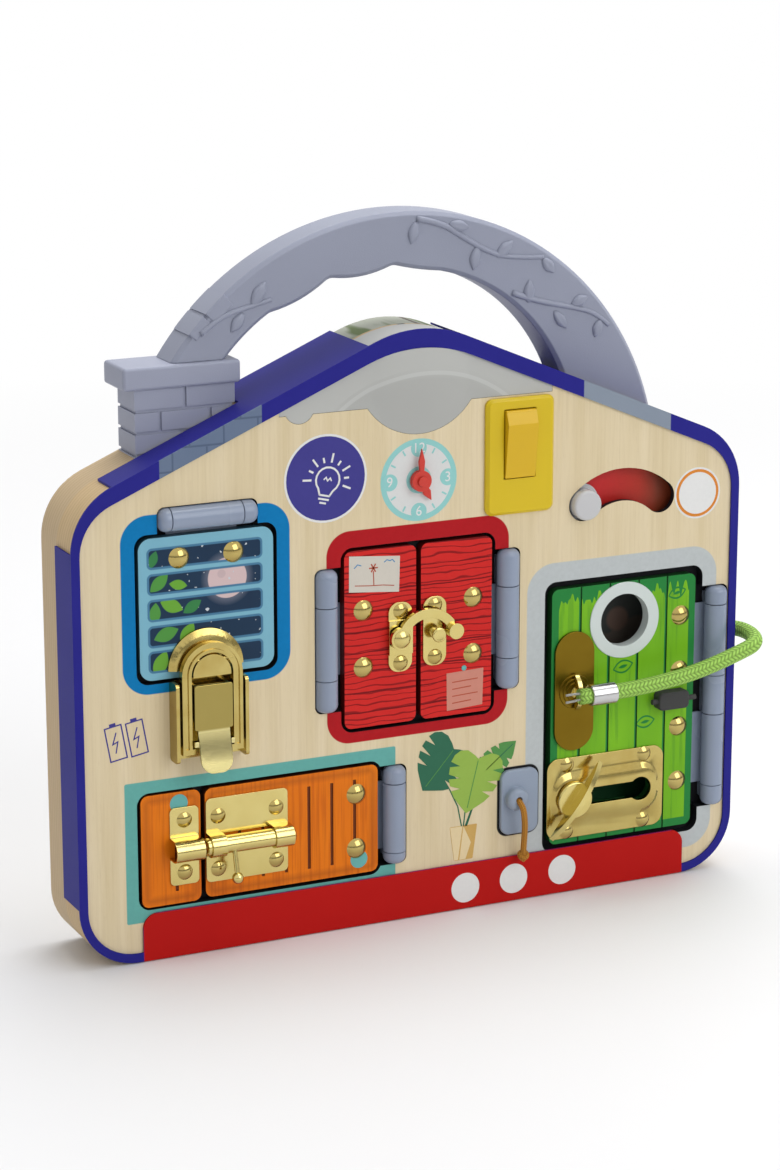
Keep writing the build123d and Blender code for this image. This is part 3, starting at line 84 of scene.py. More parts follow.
Colour = tuple[float, float, float]
Point = tuple[float, float]
Place = tuple[float, float, float]
Box = tuple[float, float, float, float]


# Shader graphs


class Signal:
    """A number or vector that a material works out, as one socket of its graph."""

    def __init__(self, graph: "Graph", socket: bpy.types.NodeSocket) -> None:
        """Keep the socket with the graph it belongs to."""
        self.graph = graph
        self.socket = socket

    def _maths(self, operation: str, first: "Number", second: "Number") -> "Signal":
        """Add one Math node on two values."""
        return self.graph.add("ShaderNodeMath", {"operation": operation}, {0: first, 1: second})

    def __add__(self, other: "Number") -> "Signal":
        """Add a value."""
        return self._maths("ADD", self, other)

    def __radd__(self, other: "Number") -> "Signal":
        """Add to a value."""
        return self._maths("ADD", other, self)

    def __sub__(self, other: "Number") -> "Signal":
        """Take a value away."""
        return self._maths("SUBTRACT", self, other)

    def __rsub__(self, other: "Number") -> "Signal":
        """Take this away from a value."""
        return self._maths("SUBTRACT", other, self)

    def __mul__(self, other: "Number") -> "Signal":
        """Multiply by a value."""
        return self._maths("MULTIPLY", self, other)

    def __rmul__(self, other: "Number") -> "Signal":
        """Multiply a value by this."""
        return self._maths("MULTIPLY", other, self)

    def __truediv__(self, other: "Number") -> "Signal":
        """Divide by a value."""
        return self._maths("DIVIDE", self, other)

    def __abs__(self) -> "Signal":
        """Drop the sign."""
        return self._maths("ABSOLUTE", self, 0.0)

    def __mod__(self, other: "Number") -> "Signal":
        """Wrap into a range from zero up to a value."""
        return self._maths("FLOORED_MODULO", self, other)

    def least(self, other: "Number") -> "Signal":
        """Return the smaller of this and a value."""
        return self._maths("MINIMUM", self, other)

    def most(self, other: "Number") -> "Signal":
        """Return the larger of this and a value."""
        return self._maths("MAXIMUM", self, other)

    def above(self, limit: float, soft: float = 0.25) -> "Signal":
        """Return one where this lies above a limit and zero below, over a soft step."""
        return ((self - limit) / soft + 0.5).most(0.0).least(1.0)

    def below(self, limit: float, soft: float = 0.25) -> "Signal":
        """Return one where this lies below a limit and zero above, over a soft step."""
        return ((limit - self) / soft + 0.5).most(0.0).least(1.0)


Number = float | Signal
Tint = Colour | Signal


class Graph:
    """The nodes of one material. Places are in millimetres in the board's own frame."""

    def __init__(self, name: str) -> None:
        """Start a material with one Principled shader."""
        self.material = bpy.data.materials.new(name)
        self.material.use_nodes = True
        self.tree = self.material.node_tree
        self.shader = self.tree.nodes["Principled BSDF"]
        spot = self.add("ShaderNodeTexCoord", {}, {}, "Object")
        scaled = {0: spot, "Scale": 1.0 / MM}
        self.place = self.add("ShaderNodeVectorMath", {"operation": "SCALE"}, scaled)
        self.x, self.y, self.z = (
            self.add("ShaderNodeSeparateXYZ", {}, {0: self.place}, axis) for axis in range(3)
        )

    def add(
        self, kind: str, settings: dict[str, object], inputs: dict[int | str, object], output: int | str = 0
    ) -> Signal:
        """Add one node.

        Args:
            kind: the node's type.
            settings: its own choices, set before anything is linked.
            inputs: values or signals by socket.
            output: which of its sockets to return.

        Returns:
            The chosen output as a signal.
        """
        node = self.tree.nodes.new(kind)
        for name, value in settings.items():
            setattr(node, name, value)
        for key, value in inputs.items():
            self.feed(node.inputs[key], value)
        return Signal(self, node.outputs[output])

    def feed(self, socket: bpy.types.NodeSocket, value: object) -> None:
        """Link a signal to a socket, or set the socket to a plain value.

        Args:
            socket: the input to drive.
            value: a signal, a number, a colour or a vector.
        """
        if isinstance(value, Signal):
            self.tree.links.new(value.socket, socket)
        elif isinstance(value, tuple) and len(socket.default_value) == 4:
            socket.default_value = (*value, 1.0)
        else:
            socket.default_value = value

    def noise(self, scale: Place, detail: float = 2.0, shift: float = 0.0) -> Signal:
        """Return soft noise from 0 to 1.

        Args:
            scale: how many blotches fit in a millimetre along x, y and z.
            detail: how many finer layers it has.
            shift: a step sideways, so that two noises differ.

        Returns:
            The noise as a signal.
        """
        spread = {"Vector": self.place, "Scale": scale, "Location": (shift, shift, shift)}
        spot = self.add("ShaderNodeMapping", {}, spread)
        return self.add("ShaderNodeTexNoise", {}, {"Vector": spot, "Scale": 1.0, "Detail": detail})

    def mix(self, share: Number, first: Tint, second: Tint) -> Signal:
        """Return a colour between two, by the second's share."""
        return self.add("ShaderNodeMix", {"data_type": "RGBA"}, {0: share, 6: first, 7: second}, 2)

    def paint(self, ground: Tint, layers: Sequence[tuple[Signal, Tint]]) -> Tint:
        """Lay inks over a ground in order.

        Args:
            ground: the colour underneath.
            layers: pairs of a mask and its ink.

        Returns:
            The colour with every ink on it.
        """
        for mask, ink in layers:
            ground = self.mix(mask, ground, ink)
        return ground

    def behind_face(self) -> Signal:
        """Return the mask of what lies behind the painted face."""
        return self.y.above(PAINTED_FACE, 0.06)

    def length(self, first: Number, second: Number) -> Signal:
        """Return the length of a flat vector.

        Args:
            first: its part along one axis.
            second: its part along the other.

        Returns:
            The length as a signal.
        """
        squares = self.add("ShaderNodeMath", {"operation": "MULTIPLY_ADD"}, {0: first, 1: first, 2: 0.0})
        both = squares + second * second
        return self.add("ShaderNodeMath", {"operation": "SQRT"}, {0: both})

    def disc(self, x: float, z: float, radius: float) -> Signal:
        """Return the distance in front of a disc's rim, negative inside."""
        return self.length(self.x - x, self.z - z) - radius

    def panel(self, box: Box, corner: float = 0.5) -> Signal:
        """Measure how far a point lies outside a rounded panel.

        Args:
            box: its left, right, low and high edges.
            corner: the corner radius.

        Returns:
            The distance, negative inside.
        """
        left, right, low, high = box
        across = abs(self.x - (left + right) / 2) - ((right - left) / 2 - corner)
        up = abs(self.z - (low + high) / 2) - ((high - low) / 2 - corner)
        inside = across.most(up).least(0.0)
        return self.length(across.most(0.0), up.most(0.0)) + inside - corner

    def leaf(self, x: float, z: float, reach: Point, turn: float) -> Signal:
        """Measure how far a point lies outside a pointed leaf.

        Args:
            x: its middle across.
            z: its middle up.
            reach: its length and breadth.
            turn: its lean from level, in degrees.

        Returns:
            The distance, negative inside.
        """
        lean = math.radians(turn)
        along = (self.x - x) * math.cos(lean) + (self.z - z) * math.sin(lean)
        aside = (self.z - z) * math.cos(lean) - (self.x - x) * math.sin(lean)
        share = along / (reach[0] / 2)
        return abs(aside) - (1.0 - share * share) * (reach[1] / 2)

    def ink(self, distance: Signal, soft: float = 0.3) -> Signal:
        """Return the mask of a printed shape from its distance."""
        return distance.below(0.0, soft)

    def line(self, distance: Signal, width: float) -> Signal:
        """Return the mask of a line along a shape's edge."""
        return abs(distance).below(width / 2, 0.25)

    def bump(self, height: Signal, depth: float, strength: float = 1.0) -> None:
        """Let a height in millimetres raise the surface.

        Args:
            height: from 0 to 1.
            depth: millimetres at height 1.
            strength: share of the effect.
        """
        relief = {"Height": height, "Distance": depth * MM, "Strength": strength}
        self.feed(self.shader.inputs["Normal"], self.add("ShaderNodeBump", {}, relief))

    def dress(
        self, colour: Tint, roughness: Number, metallic: float = 0.0, coat: float = 0.0, shine: float = 0.25
    ) -> bpy.types.Material:
        """Finish the shader.

        Args:
            colour: the base colour.
            roughness: how blurred its reflections are.
            metallic: one for a metal.
            coat: weight of a clear coat.
            shine: how strongly a plain surface reflects.

        Returns:
            The finished material.
        """
        self.shader.inputs["Specular IOR Level"].default_value = shine
        self.feed(self.shader.inputs["Base Color"], colour)
        self.feed(self.shader.inputs["Roughness"], roughness)
        self.shader.inputs["Metallic"].default_value = metallic
        self.shader.inputs["Coat Weight"].default_value = coat
        self.shader.inputs["Coat Roughness"].default_value = 0.12
        return self.material


# Finishes


@dataclass(frozen=True)
class Plastic:
    """Moulded plastic with a faint eggshell skin."""

    name: str
    colour: Colour
    roughness: float = 0.36
    grain: float = 0.03
    coat: float = 0.0

    def material(self) -> bpy.types.Material:
        """Build the material.

        Returns:
            The finished material.
        """
        graph = Graph(self.name)
        cloud = graph.noise((0.03, 0.03, 0.03), 2.0)
        skin = graph.noise((2.4, 2.4, 2.4), 1.0)
        darker = tuple(part * 0.90 for part in self.colour)
        graph.bump(skin, self.grain)
        tint = graph.mix(cloud, self.colour, darker)
        return graph.dress(tint, cloud * 0.12 + self.roughness - 0.06, 0.0, self.coat, 0.32)


@dataclass(frozen=True)
class Metal:
    """Plated sheet metal with faint rubbing marks."""

    name: str
    colour: Colour
    roughness: float = 0.16
    tarnish: float = 0.25

    def material(self) -> bpy.types.Material:
        """Build the material.

        Returns:
            The finished material.
        """
        graph = Graph(self.name)
        cloud = graph.noise((0.09, 0.09, 0.09), 3.0)
        rubbing = graph.noise((0.5, 1.0, 3.0), 3.0, 7.0)
        deeper = (self.colour[0] * 0.80, self.colour[1] * 0.72, self.colour[2] * 0.55)
        tint = graph.mix(cloud.above(0.55, 0.5) * self.tarnish * 2, self.colour, deeper)
        graph.bump(rubbing, 0.006, 0.5)
        return graph.dress(tint, rubbing * 0.10 + cloud * 0.10 + self.roughness - 0.08, 1.0, shine=0.5)


@dataclass(frozen=True)
class LeverBrass(Metal):
    """Brass of the toggle latch, darkened as a painted dark reflection, its curled tongue painted lighter as
    a painted highlight.
    """

    tongue_top: float = 93.4
    tongue_front: float = -24.2
    bright: Colour = (0.66, 0.575, 0.26)

    def material(self) -> bpy.types.Material:
        """Build the material.

        Returns:
            The finished material.
        """
        graph = Graph(self.name)
        cloud = graph.noise((0.09, 0.09, 0.09), 3.0)
        rubbing = graph.noise((0.5, 1.0, 3.0), 3.0, 7.0)
        # Painted highlight: the curled tongue is painted lighter than the flat plate, as a reflection.
        tongue = graph.z.below(self.tongue_top, 0.8) * graph.y.below(self.tongue_front, 0.3)
        deeper = tuple(part * 0.7 for part in self.colour)
        tint = graph.mix(cloud * self.tarnish, self.colour, deeper)
        graph.bump(rubbing, 0.006, 0.5)
        tint_with_painted_highlight = graph.mix(tongue, tint, self.bright)
        return graph.dress(tint_with_painted_highlight, rubbing * 0.1 + self.roughness, 1.0, shine=0.5)


@dataclass(frozen=True)
class Ink:
    """Flat print with a slight mottle of the screen."""

    name: str
    colour: Colour
    roughness: float = 0.42

    def material(self) -> bpy.types.Material:
        """Build the material.

        Returns:
            The finished material.
        """
        graph = Graph(self.name)
        mottle = graph.noise((0.8, 0.8, 0.8), 3.0)
        cloud = graph.noise((0.05, 0.05, 0.05), 1.0, 4.0)
        paler = tuple(min(1.0, part * 1.05 + 0.006) for part in self.colour)
        darker = tuple(part * 0.92 for part in self.colour)
        tint = graph.mix(cloud * 0.5 + mottle * 0.5, darker, paler)
        graph.bump(mottle, 0.01, 0.4)
        return graph.dress(tint, mottle * 0.08 + self.roughness - 0.04)


class Wood:
    """Birch plywood, its figure running up the board."""

    PALE: Colour = (0.74, 0.63, 0.435)
    DEEP: Colour = (0.665, 0.55, 0.345)
    PORE: Colour = (0.52, 0.40, 0.225)
    GLUE: Colour = (0.36, 0.235, 0.11)
    PLY: float = 2.2
    GLUE_LINE: float = 0.28

    @staticmethod
    def figure(
        graph: Graph, pale: Colour = PALE, deep: Colour = DEEP, pore: Colour = PORE
    ) -> tuple[Signal, Signal]:
        """Draw the figure of a flat face.

        Args:
            graph: the material's nodes.
            pale: the lighter bands.
            deep: the darker bands.
            pore: the fine streaks.

        Returns:
            The colour of the wood and the height of its pores.
        """
        bands = graph.noise((0.16, 0.16, 0.008), 3.0)
        streaks = graph.noise((1.3, 1.3, 0.035), 4.0, 5.0)
        flecks = graph.noise((3.0, 3.0, 0.22), 2.0, 11.0)
        tint = graph.mix(bands.above(0.5, 0.42), pale, deep)
        tint = graph.mix(streaks.above(0.60, 0.30) * 0.24, tint, pore)
        tint = graph.mix(flecks.above(0.66, 0.16) * 0.22, tint, pore)
        return tint, streaks * 0.6 + flecks * 0.4

    @staticmethod
    def plies(graph: Graph, pale: Colour, deep: Colour) -> Signal:
        """Draw a cut edge with its thin glue lines.

        Args:
            graph: the material's nodes.
            pale: the lighter wood of the edge.
            deep: the darker wood of the edge.

        Returns:
            The colour of the edge.
        """
        cut = graph.mix(graph.noise((0.1, 1.0, 0.1), 2.0), pale, deep)
        step = (graph.y + 60.0) % Wood.PLY
        return graph.mix(step.below(Wood.GLUE_LINE, 0.2) * 0.55, cut, Wood.GLUE)


class Surround(Enum):
    """The printed panels around the doors: box, corner radius and colour."""

    WINDOW = ((-125.0, -55.5, 108.0, 178.4), 11.0, (0.0, 0.19, 0.47))
    RED = ((-40.1, 39.5, 77.2, 163.5), 10.0, (0.44, 0.008, 0.013))
    ORANGE = ((-125.4, -10.4, 16.1, 73.4), 0.8, (0.135, 0.42, 0.38))
    GREEN = ((48.0, 135.8, 10.8, 140.8), 12.0, (0.51, 0.545, 0.55))


@dataclass(frozen=True)
class BirchFront:
    """The front board: bare birch, printed surrounds and a cut edge, with its recesses, pockets and knob gap
    painted near-black as painted shade.
    """

    name: str = "printed_birch"
    knob_gap: Box = (35.2, 54.2, 28.2, 57.6)
    inside: Box = (-139.5, 142.0, 9.0, 172.0)
    gable_half: float = 100.0
    gable_foot: float = 150.0
    gable_top: float = 240.5
    roof_slope: float = 0.4244

    def material(self) -> bpy.types.Material:
        """Build the material.

        Returns:
            The finished material.
        """
        graph = Graph(self.name)
        wood, pores = Wood.figure(graph)
        face = wood
        for surround in Surround:
            box, corner, colour = surround.value
            deeper = tuple(part * 0.86 for part in colour)
            printed = graph.mix(graph.noise((0.7, 0.7, 0.7), 2.0), colour, deeper)
            face = graph.mix(graph.ink(graph.panel(box, corner)), face, printed)
        # Painted shade: a near-black panel where the gap round the grey knob plate lies.
        face = graph.mix(graph.ink(graph.panel(self.knob_gap, 4.6)), face, (0.012, 0.012, 0.014))
        edge = Wood.plies(graph, (0.66, 0.49, 0.28), (0.56, 0.40, 0.21))
        gable = abs(graph.x).below(self.gable_half, 0.4) * graph.z.above(self.gable_foot, 0.4)
        gable = gable * (graph.z + abs(graph.x) * self.roof_slope).below(self.gable_top, 0.4)
        inner = graph.ink(graph.panel(self.inside, 14.0)).most(gable)
        # Painted shade: recess walls and pocket floors inside the board and under the gable are painted
        # near-black; the outer cut edge keeps its plies.
        edge_and_painted_shade = graph.mix(inner, edge, (0.014, 0.014, 0.017))
        colour = graph.mix(graph.behind_face(), face, edge_and_painted_shade)
        graph.bump(pores, 0.03, 0.5)
        return graph.dress(colour, pores * 0.16 + 0.40, shine=0.12)


@dataclass(frozen=True)
class BackWood:
    """The rear board: plain birch, its back a little greyer, with a leafy print along the crest."""

    name: str = "plain_birch"
    crest_reach: float = 30.0

    def material(self) -> bpy.types.Material:
        """Build the material.

        Returns:
            The finished material.
        """
        graph = Graph(self.name)
        wood, pores = Wood.figure(graph, (0.60, 0.485, 0.32), (0.50, 0.395, 0.245), (0.40, 0.30, 0.17))
        edge = Wood.plies(graph, (0.60, 0.455, 0.28), (0.52, 0.385, 0.22))
        leaves = graph.noise((0.10, 0.02, 0.16), 2.0, 3.0)
        crest = graph.mix(leaves.above(0.48, 0.10), (0.10, 0.15, 0.035), (0.42, 0.44, 0.36))
        crest = graph.mix(abs(graph.x - 8.0).below(1.2, 0.3), crest, (0.08, 0.06, 0.04))
        edge = graph.mix(abs(graph.x).below(self.crest_reach, 1.0) * graph.z.above(225.0, 1.0), edge, crest)
        colour = graph.mix(graph.y.above(17.9, 0.1), edge, wood)
        graph.bump(pores, 0.04, 0.5)
        return graph.dress(colour, pores * 0.16 + 0.46)


@dataclass(frozen=True)
class PrintedCard:
    """The card round the board: navy, a red band, and the feet of chimney and arch."""

    name: str = "printed_card"
    band: Box = (-119.0, 122.0, -6.0, 19.6)
    chimney_foot: Box = (-109.0, -67.0, 180.0, 235.0)
    arch_foot: Box = (72.0, 112.0, 180.0, 235.0)

    def material(self) -> bpy.types.Material:
        """Build the material.

        Returns:
            The finished material.
        """
        graph = Graph(self.name)
        weave = graph.noise((1.6, 1.6, 1.6), 3.0)
        cloud = graph.noise((0.04, 0.04, 0.04), 2.0, 8.0)
        navy = graph.mix(cloud, (0.018, 0.017, 0.205), (0.026, 0.024, 0.250))
        red = graph.mix(cloud, (0.49, 0.010, 0.008), (0.44, 0.008, 0.007))
        brick = graph.mix(cloud, (0.12, 0.165, 0.255), (0.15, 0.195, 0.285))
        row = ((graph.z + 4.0) % 9.0).below(0.7, 0.4)
        shift = ((graph.z + 4.0) % 18.0).above(9.0, 0.3) * 7.0
        joint = ((graph.x + 300.0 + shift) % 14.0).below(0.7, 0.4)
        bricks = graph.mix(row.most(joint) * 0.6, brick, (0.06, 0.085, 0.15))
        stone = graph.mix(cloud, (0.22, 0.265, 0.33), (0.26, 0.30, 0.365))
        near = graph.y.below(-18.1, 0.1)
        layers = [
            (graph.ink(graph.panel(self.chimney_foot)) * near, bricks),
            (graph.ink(graph.panel(self.arch_foot)) * near, stone),
            (graph.ink(graph.panel(self.band, 5.0)) * near, red),
        ]
        graph.bump(weave, 0.02, 0.35)
        return graph.dress(graph.paint(navy, layers), weave * 0.10 + 0.40, shine=0.07)


@dataclass(frozen=True)
class Pictures:
    """Simple scenes on the backs of the compartments."""

    name: str = "compartment_pictures"

    def material(self) -> bpy.types.Material:
        """Build the material.

        Returns:
            The finished material.
        """
        graph = Graph(self.name)
        cloud = graph.noise((0.05, 0.05, 0.05), 3.0)
        hill = graph.z + graph.noise((0.06, 0.06, 0.0), 1.0) * 24.0
        night = graph.paint(
            graph.mix(cloud, (0.012, 0.016, 0.075), (0.02, 0.035, 0.13)),
            [
                (graph.ink(graph.disc(-76.0, 156.0, 6.5)), (0.62, 0.60, 0.48)),
                (graph.noise((0.5, 0.5, 0.5), 0.0, 9.0).above(0.77, 0.02), (0.6, 0.6, 0.55)),
                (hill.below(143.0, 0.4), (0.02, 0.085, 0.055)),
                (hill.below(133.0, 0.4), (0.035, 0.16, 0.05)),
            ],
        )
        stripe = ((graph.x + 200.0) % 7.0).below(3.5, 0.3)
        room = graph.paint(
            graph.mix(stripe, (0.60, 0.40, 0.12), (0.66, 0.48, 0.20)),
            [
                (graph.z.below(93.0, 0.3), (0.22, 0.10, 0.04)),
                (graph.ink(graph.panel((-26.0, 26.0, 112.0, 115.0))), (0.30, 0.14, 0.05)),
                (graph.ink(graph.panel((-20.0, -12.0, 115.0, 128.0), 2.0)), (0.05, 0.25, 0.33)),
                (graph.ink(graph.panel((-8.0, -1.0, 115.0, 123.0), 1.0)), (0.50, 0.06, 0.04)),
                (graph.ink(graph.disc(12.0, 121.0, 6.0)), (0.10, 0.33, 0.10)),
                (graph.ink(graph.panel((-14.0, 14.0, 93.0, 104.0), 2.5)), (0.42, 0.11, 0.08)),
            ],
        )
        straw = ((graph.z + graph.noise((0.15, 0.15, 0.6), 2.0) * 8.0) % 4.0).below(0.8, 0.5)
        barn = graph.paint(
            graph.mix(straw * 0.7, (0.50, 0.32, 0.07), (0.30, 0.16, 0.03)),
            [
                (graph.ink(graph.disc(-76.0, 33.0, 7.0)), (0.52, 0.05, 0.03)),
                (graph.ink(graph.disc(-60.0, 32.0, 6.0)), (0.30, 0.42, 0.05)),
                (graph.ink(graph.disc(-42.0, 33.5, 7.5)), (0.55, 0.24, 0.02)),
                (graph.z.above(57.0, 0.4), (0.10, 0.05, 0.02)),
            ],
        )
        porch = graph.paint(
            graph.mix(cloud, (0.030, 0.036, 0.036), (0.062, 0.066, 0.058)),
            [
                (hill.below(118.0, 1.2), (0.085, 0.070, 0.058)),
                (graph.ink(graph.disc(89.0, 118.0, 4.2), 1.5), (0.17, 0.16, 0.13)),
                (graph.ink(graph.disc(99.0, 109.0, 5.0), 1.5), (0.14, 0.09, 0.07)),
                (graph.z.below(60.0, 0.4), (0.014, 0.085, 0.030)),
                (graph.ink(graph.panel((76.0, 110.0, 60.0, 90.0), 3.0)), (0.05, 0.13, 0.14)),
            ],
        )
        low = graph.z.below(76.0, 0.5)
        left = graph.mix(low, night, barn)
        middle = graph.mix(graph.x.above(-45.0, 0.5) * graph.z.above(76.0, 0.5), left, room)
        return graph.dress(graph.mix(graph.x.above(46.0, 0.5), middle, porch), cloud * 0.1 + 0.42)


@dataclass(frozen=True)
class WindowPaint:
    """The window shutter: a pale blue frame and five dark openings onto a night garden."""

    name: str = "painted_window"
    rows: tuple[Point, ...] = ((157.8, 164.4), (147.7, 154.4), (137.3, 144.3), (127.0, 134.0), (117.0, 124.0))
    left: float = -113.6
    right: float = -67.8
    greens: tuple[Colour, ...] = ((0.13, 0.36, 0.03), (0.03, 0.20, 0.055), (0.07, 0.28, 0.045))
    leaves: tuple[tuple[float, float, float, float], ...] = (
        (-109.5, 119.5, 11.0, 64.0),
        (-102.6, 119.0, 9.0, 22.0),
        (-107.0, 131.0, 10.5, 18.0),
        (-98.4, 130.2, 10.0, 58.0),
        (-90.5, 128.6, 7.0, -30.0),
        (-111.5, 139.4, 9.0, 84.0),
        (-104.6, 142.0, 10.0, -24.0),
        (-96.2, 140.8, 8.5, 30.0),
        (-109.6, 151.4, 9.5, 40.0),
        (-101.8, 150.0, 7.5, -12.0),
        (-111.8, 160.8, 7.0, 70.0),
    )

    def material(self) -> bpy.types.Material:
        """Build the material.

        Returns:
            The finished material.
        """
        graph = Graph(self.name)
        cloud = graph.noise((0.06, 0.06, 0.06), 2.0)
        speck = graph.noise((0.55, 0.55, 0.55), 0.0, 3.0)
        openings = None
        for low, high in self.rows:
            row = graph.panel((self.left, self.right, low, high), 1.2)
            openings = row if openings is None else openings.least(row)
        night = graph.mix(cloud, (0.002, 0.018, 0.052), (0.004, 0.032, 0.078))
        layers = [
            (graph.ink(graph.disc(-81.6, 150.6, 9.6), 3.0), (0.10, 0.12, 0.17)),
            (graph.ink(graph.disc(-81.6, 150.6, 8.0)), (0.62, 0.47, 0.47)),
            (graph.ink(graph.disc(-84.0, 152.4, 1.7)), (0.54, 0.41, 0.42)),
            (speck.above(0.775, 0.02), (0.55, 0.60, 0.64)),
        ]
        for index, (x, z, long, turn) in enumerate(self.leaves):
            blade = graph.leaf(x, z, (long, long * 0.52), turn)
            layers.append((graph.ink(blade), self.greens[index % len(self.greens)]))
        garden = graph.paint(night, layers)
        frame_blue = graph.mix(cloud, (0.175, 0.41, 0.53), (0.20, 0.45, 0.56))
        face = graph.mix(graph.ink(openings - 0.9), frame_blue, (0.055, 0.18, 0.31))
        face = graph.mix(graph.ink(openings), face, garden)
        # Painted shade: the shutter's sides, behind its face, are painted dark blue.
        colour = graph.mix(graph.behind_face(), face, (0.03, 0.09, 0.13))
        graph.bump(openings.above(0.0, 0.9), 0.10, 0.7)
        return graph.dress(colour, cloud * 0.1 + 0.30)


@dataclass(frozen=True)
class RedPaint:
    """The red doors: paint with drawn boards and grain lying across them."""

    name: str = "painted_red_boards"

    def material(self) -> bpy.types.Material:
        """Build the material.

        Returns:
            The finished material.
        """
        graph = Graph(self.name)
        cloud = graph.noise((0.05, 0.05, 0.05), 2.0)
        waver = graph.noise((0.05, 0.05, 0.10), 2.0, 5.0)
        broken = graph.noise((0.05, 0.05, 0.28), 1.0, 13.0)
        fine = (graph.z + waver * 6.0) % 2.5
        wide = (graph.z + waver * 2.4) % 8.2
        red = graph.mix(cloud, (0.64, 0.022, 0.018), (0.57, 0.016, 0.014))
        red = graph.mix((broken * 1.0 - fine).above(0.0, 0.18) * 0.85, red, (0.20, 0.004, 0.006))
        red = graph.mix((broken * 1.1 - wide).above(0.0, 0.2), red, (0.17, 0.004, 0.006))
        # Painted shade: the doors' sides, behind the face, are painted dark red.
        colour = graph.mix(graph.behind_face(), red, (0.12, 0.006, 0.006))
        graph.bump(fine.above(0.4, 0.3), 0.02, 0.5)
        return graph.dress(colour, cloud * 0.1 + 0.33, shine=0.14)


@dataclass(frozen=True)
class OrangePaint:
    """The orange door: planks, with painted shade along the edges of the door and the fixed panel, in their
    grooves and on their sides.
    """

    name: str = "painted_orange_planks"
    door: Box = (-90.0, -20.4, 24.6, 64.8)
    side: Box = (-116.7, -96.4, 24.2, 65.0)

    def material(self) -> bpy.types.Material:
        """Build the material.

        Returns:
            The finished material.
        """
        graph = Graph(self.name)
        cloud = graph.noise((0.05, 0.05, 0.02), 3.0)
        grain = graph.noise((0.9, 0.9, 0.03), 3.0, 5.0)
        orange = graph.mix(cloud.above(0.5, 0.4), (0.79, 0.205, 0.006), (0.71, 0.160, 0.005))
        orange = graph.mix(grain.above(0.58, 0.2) * 0.55, orange, (0.50, 0.090, 0.004))
        # Painted shade: a darker band along the edges of the door and of the fixed panel.
        painted_edge_shade = abs(graph.panel(self.door, 2.0)).least(abs(graph.panel(self.side, 1.5)))
        colour = graph.mix(painted_edge_shade.below(1.2, 2.4) * 0.45, orange, (0.30, 0.060, 0.008))
        # Painted shade: grooves and sides behind the face are painted dark, darker still further in.
        depth = graph.mix(graph.y.above(-17.0, 0.2), (0.16, 0.035, 0.008), (0.05, 0.014, 0.006))
        colour = graph.mix(graph.behind_face(), colour, depth)
        graph.bump(grain, 0.02, 0.5)
        return graph.dress(colour, grain * 0.1 + 0.32, shine=0.14)


@dataclass(frozen=True)
class GreenPaint:
    """The green door: planks, dark sides, dripping moss along the top, and knots."""

    name: str = "painted_green_planks"
    seams: tuple[float, ...] = (72.2, 85.5, 98.9, 112.2)
    knots: tuple[tuple[float, float, float, float], ...] = (
        (92.6, 93.6, 9.0, 12.0),
        (103.5, 68.5, 8.6, 8.0),
        (117.4, 122.0, 8.0, 14.0),
    )

    def material(self) -> bpy.types.Material:
        """Build the material.

        Returns:
            The finished material.
        """
        graph = Graph(self.name)
        cloud = graph.noise((0.06, 0.06, 0.02), 2.0)
        grain = graph.noise((0.55, 0.55, 0.03), 2.0, 4.0)
        green = graph.mix(cloud.above(0.5, 0.4), (0.190, 0.480, 0.014), (0.145, 0.400, 0.012))
        green = graph.mix(grain.above(0.60, 0.10) * 0.40, green, (0.075, 0.26, 0.018))
        dark: Colour = (0.016, 0.205, 0.040)
        layers = []
        for seam in self.seams:
            layers.append((abs(graph.x - seam).below(0.45, 0.25), dark))
        for x, z, long, turn in self.knots:
            blade = graph.leaf(x, z, (long, long * 0.55), turn)
            layers.append((graph.line(blade, 0.8), dark))
            layers.append((graph.ink(graph.leaf(x, z, (long * 0.5, long * 0.16), turn)), dark))
        sides = graph.x.below(62.6, 0.3).most(graph.x.above(123.0, 0.3))
        drip = graph.noise((0.30, 0.0, 0.0), 1.0, 2.0).above(0.52, 0.22) * 8.0
        layers.append((sides, dark))
        layers.append(((graph.z + drip).above(127.0, 0.4), dark))
        layers.append((graph.z.below(24.6, 0.3), dark))
        face = graph.paint(green, layers)
        # Painted shade: the door's sides, behind the face, are painted dark green.
        colour = graph.mix(graph.behind_face(), face, (0.012, 0.075, 0.018))
        graph.bump(grain, 0.02, 0.5)
        return graph.dress(colour, grain * 0.1 + 0.32, shine=0.16)


@dataclass(frozen=True)
class Braid:
    """Braided cord: slanting strands, read from the cord's own unrolled map."""

    name: str
    colour: Colour
    columns: int = 10
    pitch: float = 0.55

    def material(self) -> bpy.types.Material:
        """Build the material.

        Returns:
            The finished material.
        """
        graph = Graph(self.name)
        unrolled = graph.add("ShaderNodeUVMap", {"uv_map": "unrolled"}, {})
        around = graph.add("ShaderNodeSeparateXYZ", {}, {0: unrolled}, 0) * self.columns
        along = graph.add("ShaderNodeSeparateXYZ", {}, {0: unrolled}, 1)
        lean = abs(around % 2.0 - 1.0)
        strand = abs((along * self.pitch + lean * 0.9) % 1.0 - 0.5) * 2.0
        seam = abs(around % 1.0 - 0.5) * 2.0
        height = (1.0 - strand * strand) * (1.0 - seam * seam * 0.6)
        fibre = graph.noise((6.0, 6.0, 6.0), 2.0)
        shade = tuple(part * 0.42 for part in self.colour)
        pale = tuple(min(1.0, part * 1.25 + 0.03) for part in self.colour)
        tint = graph.mix(height, shade, graph.mix(fibre, self.colour, pale))
        graph.bump(height * 0.85 + fibre * 0.15, 0.35, 0.9)
        return graph.dress(tint, 0.72 - height * 0.12)


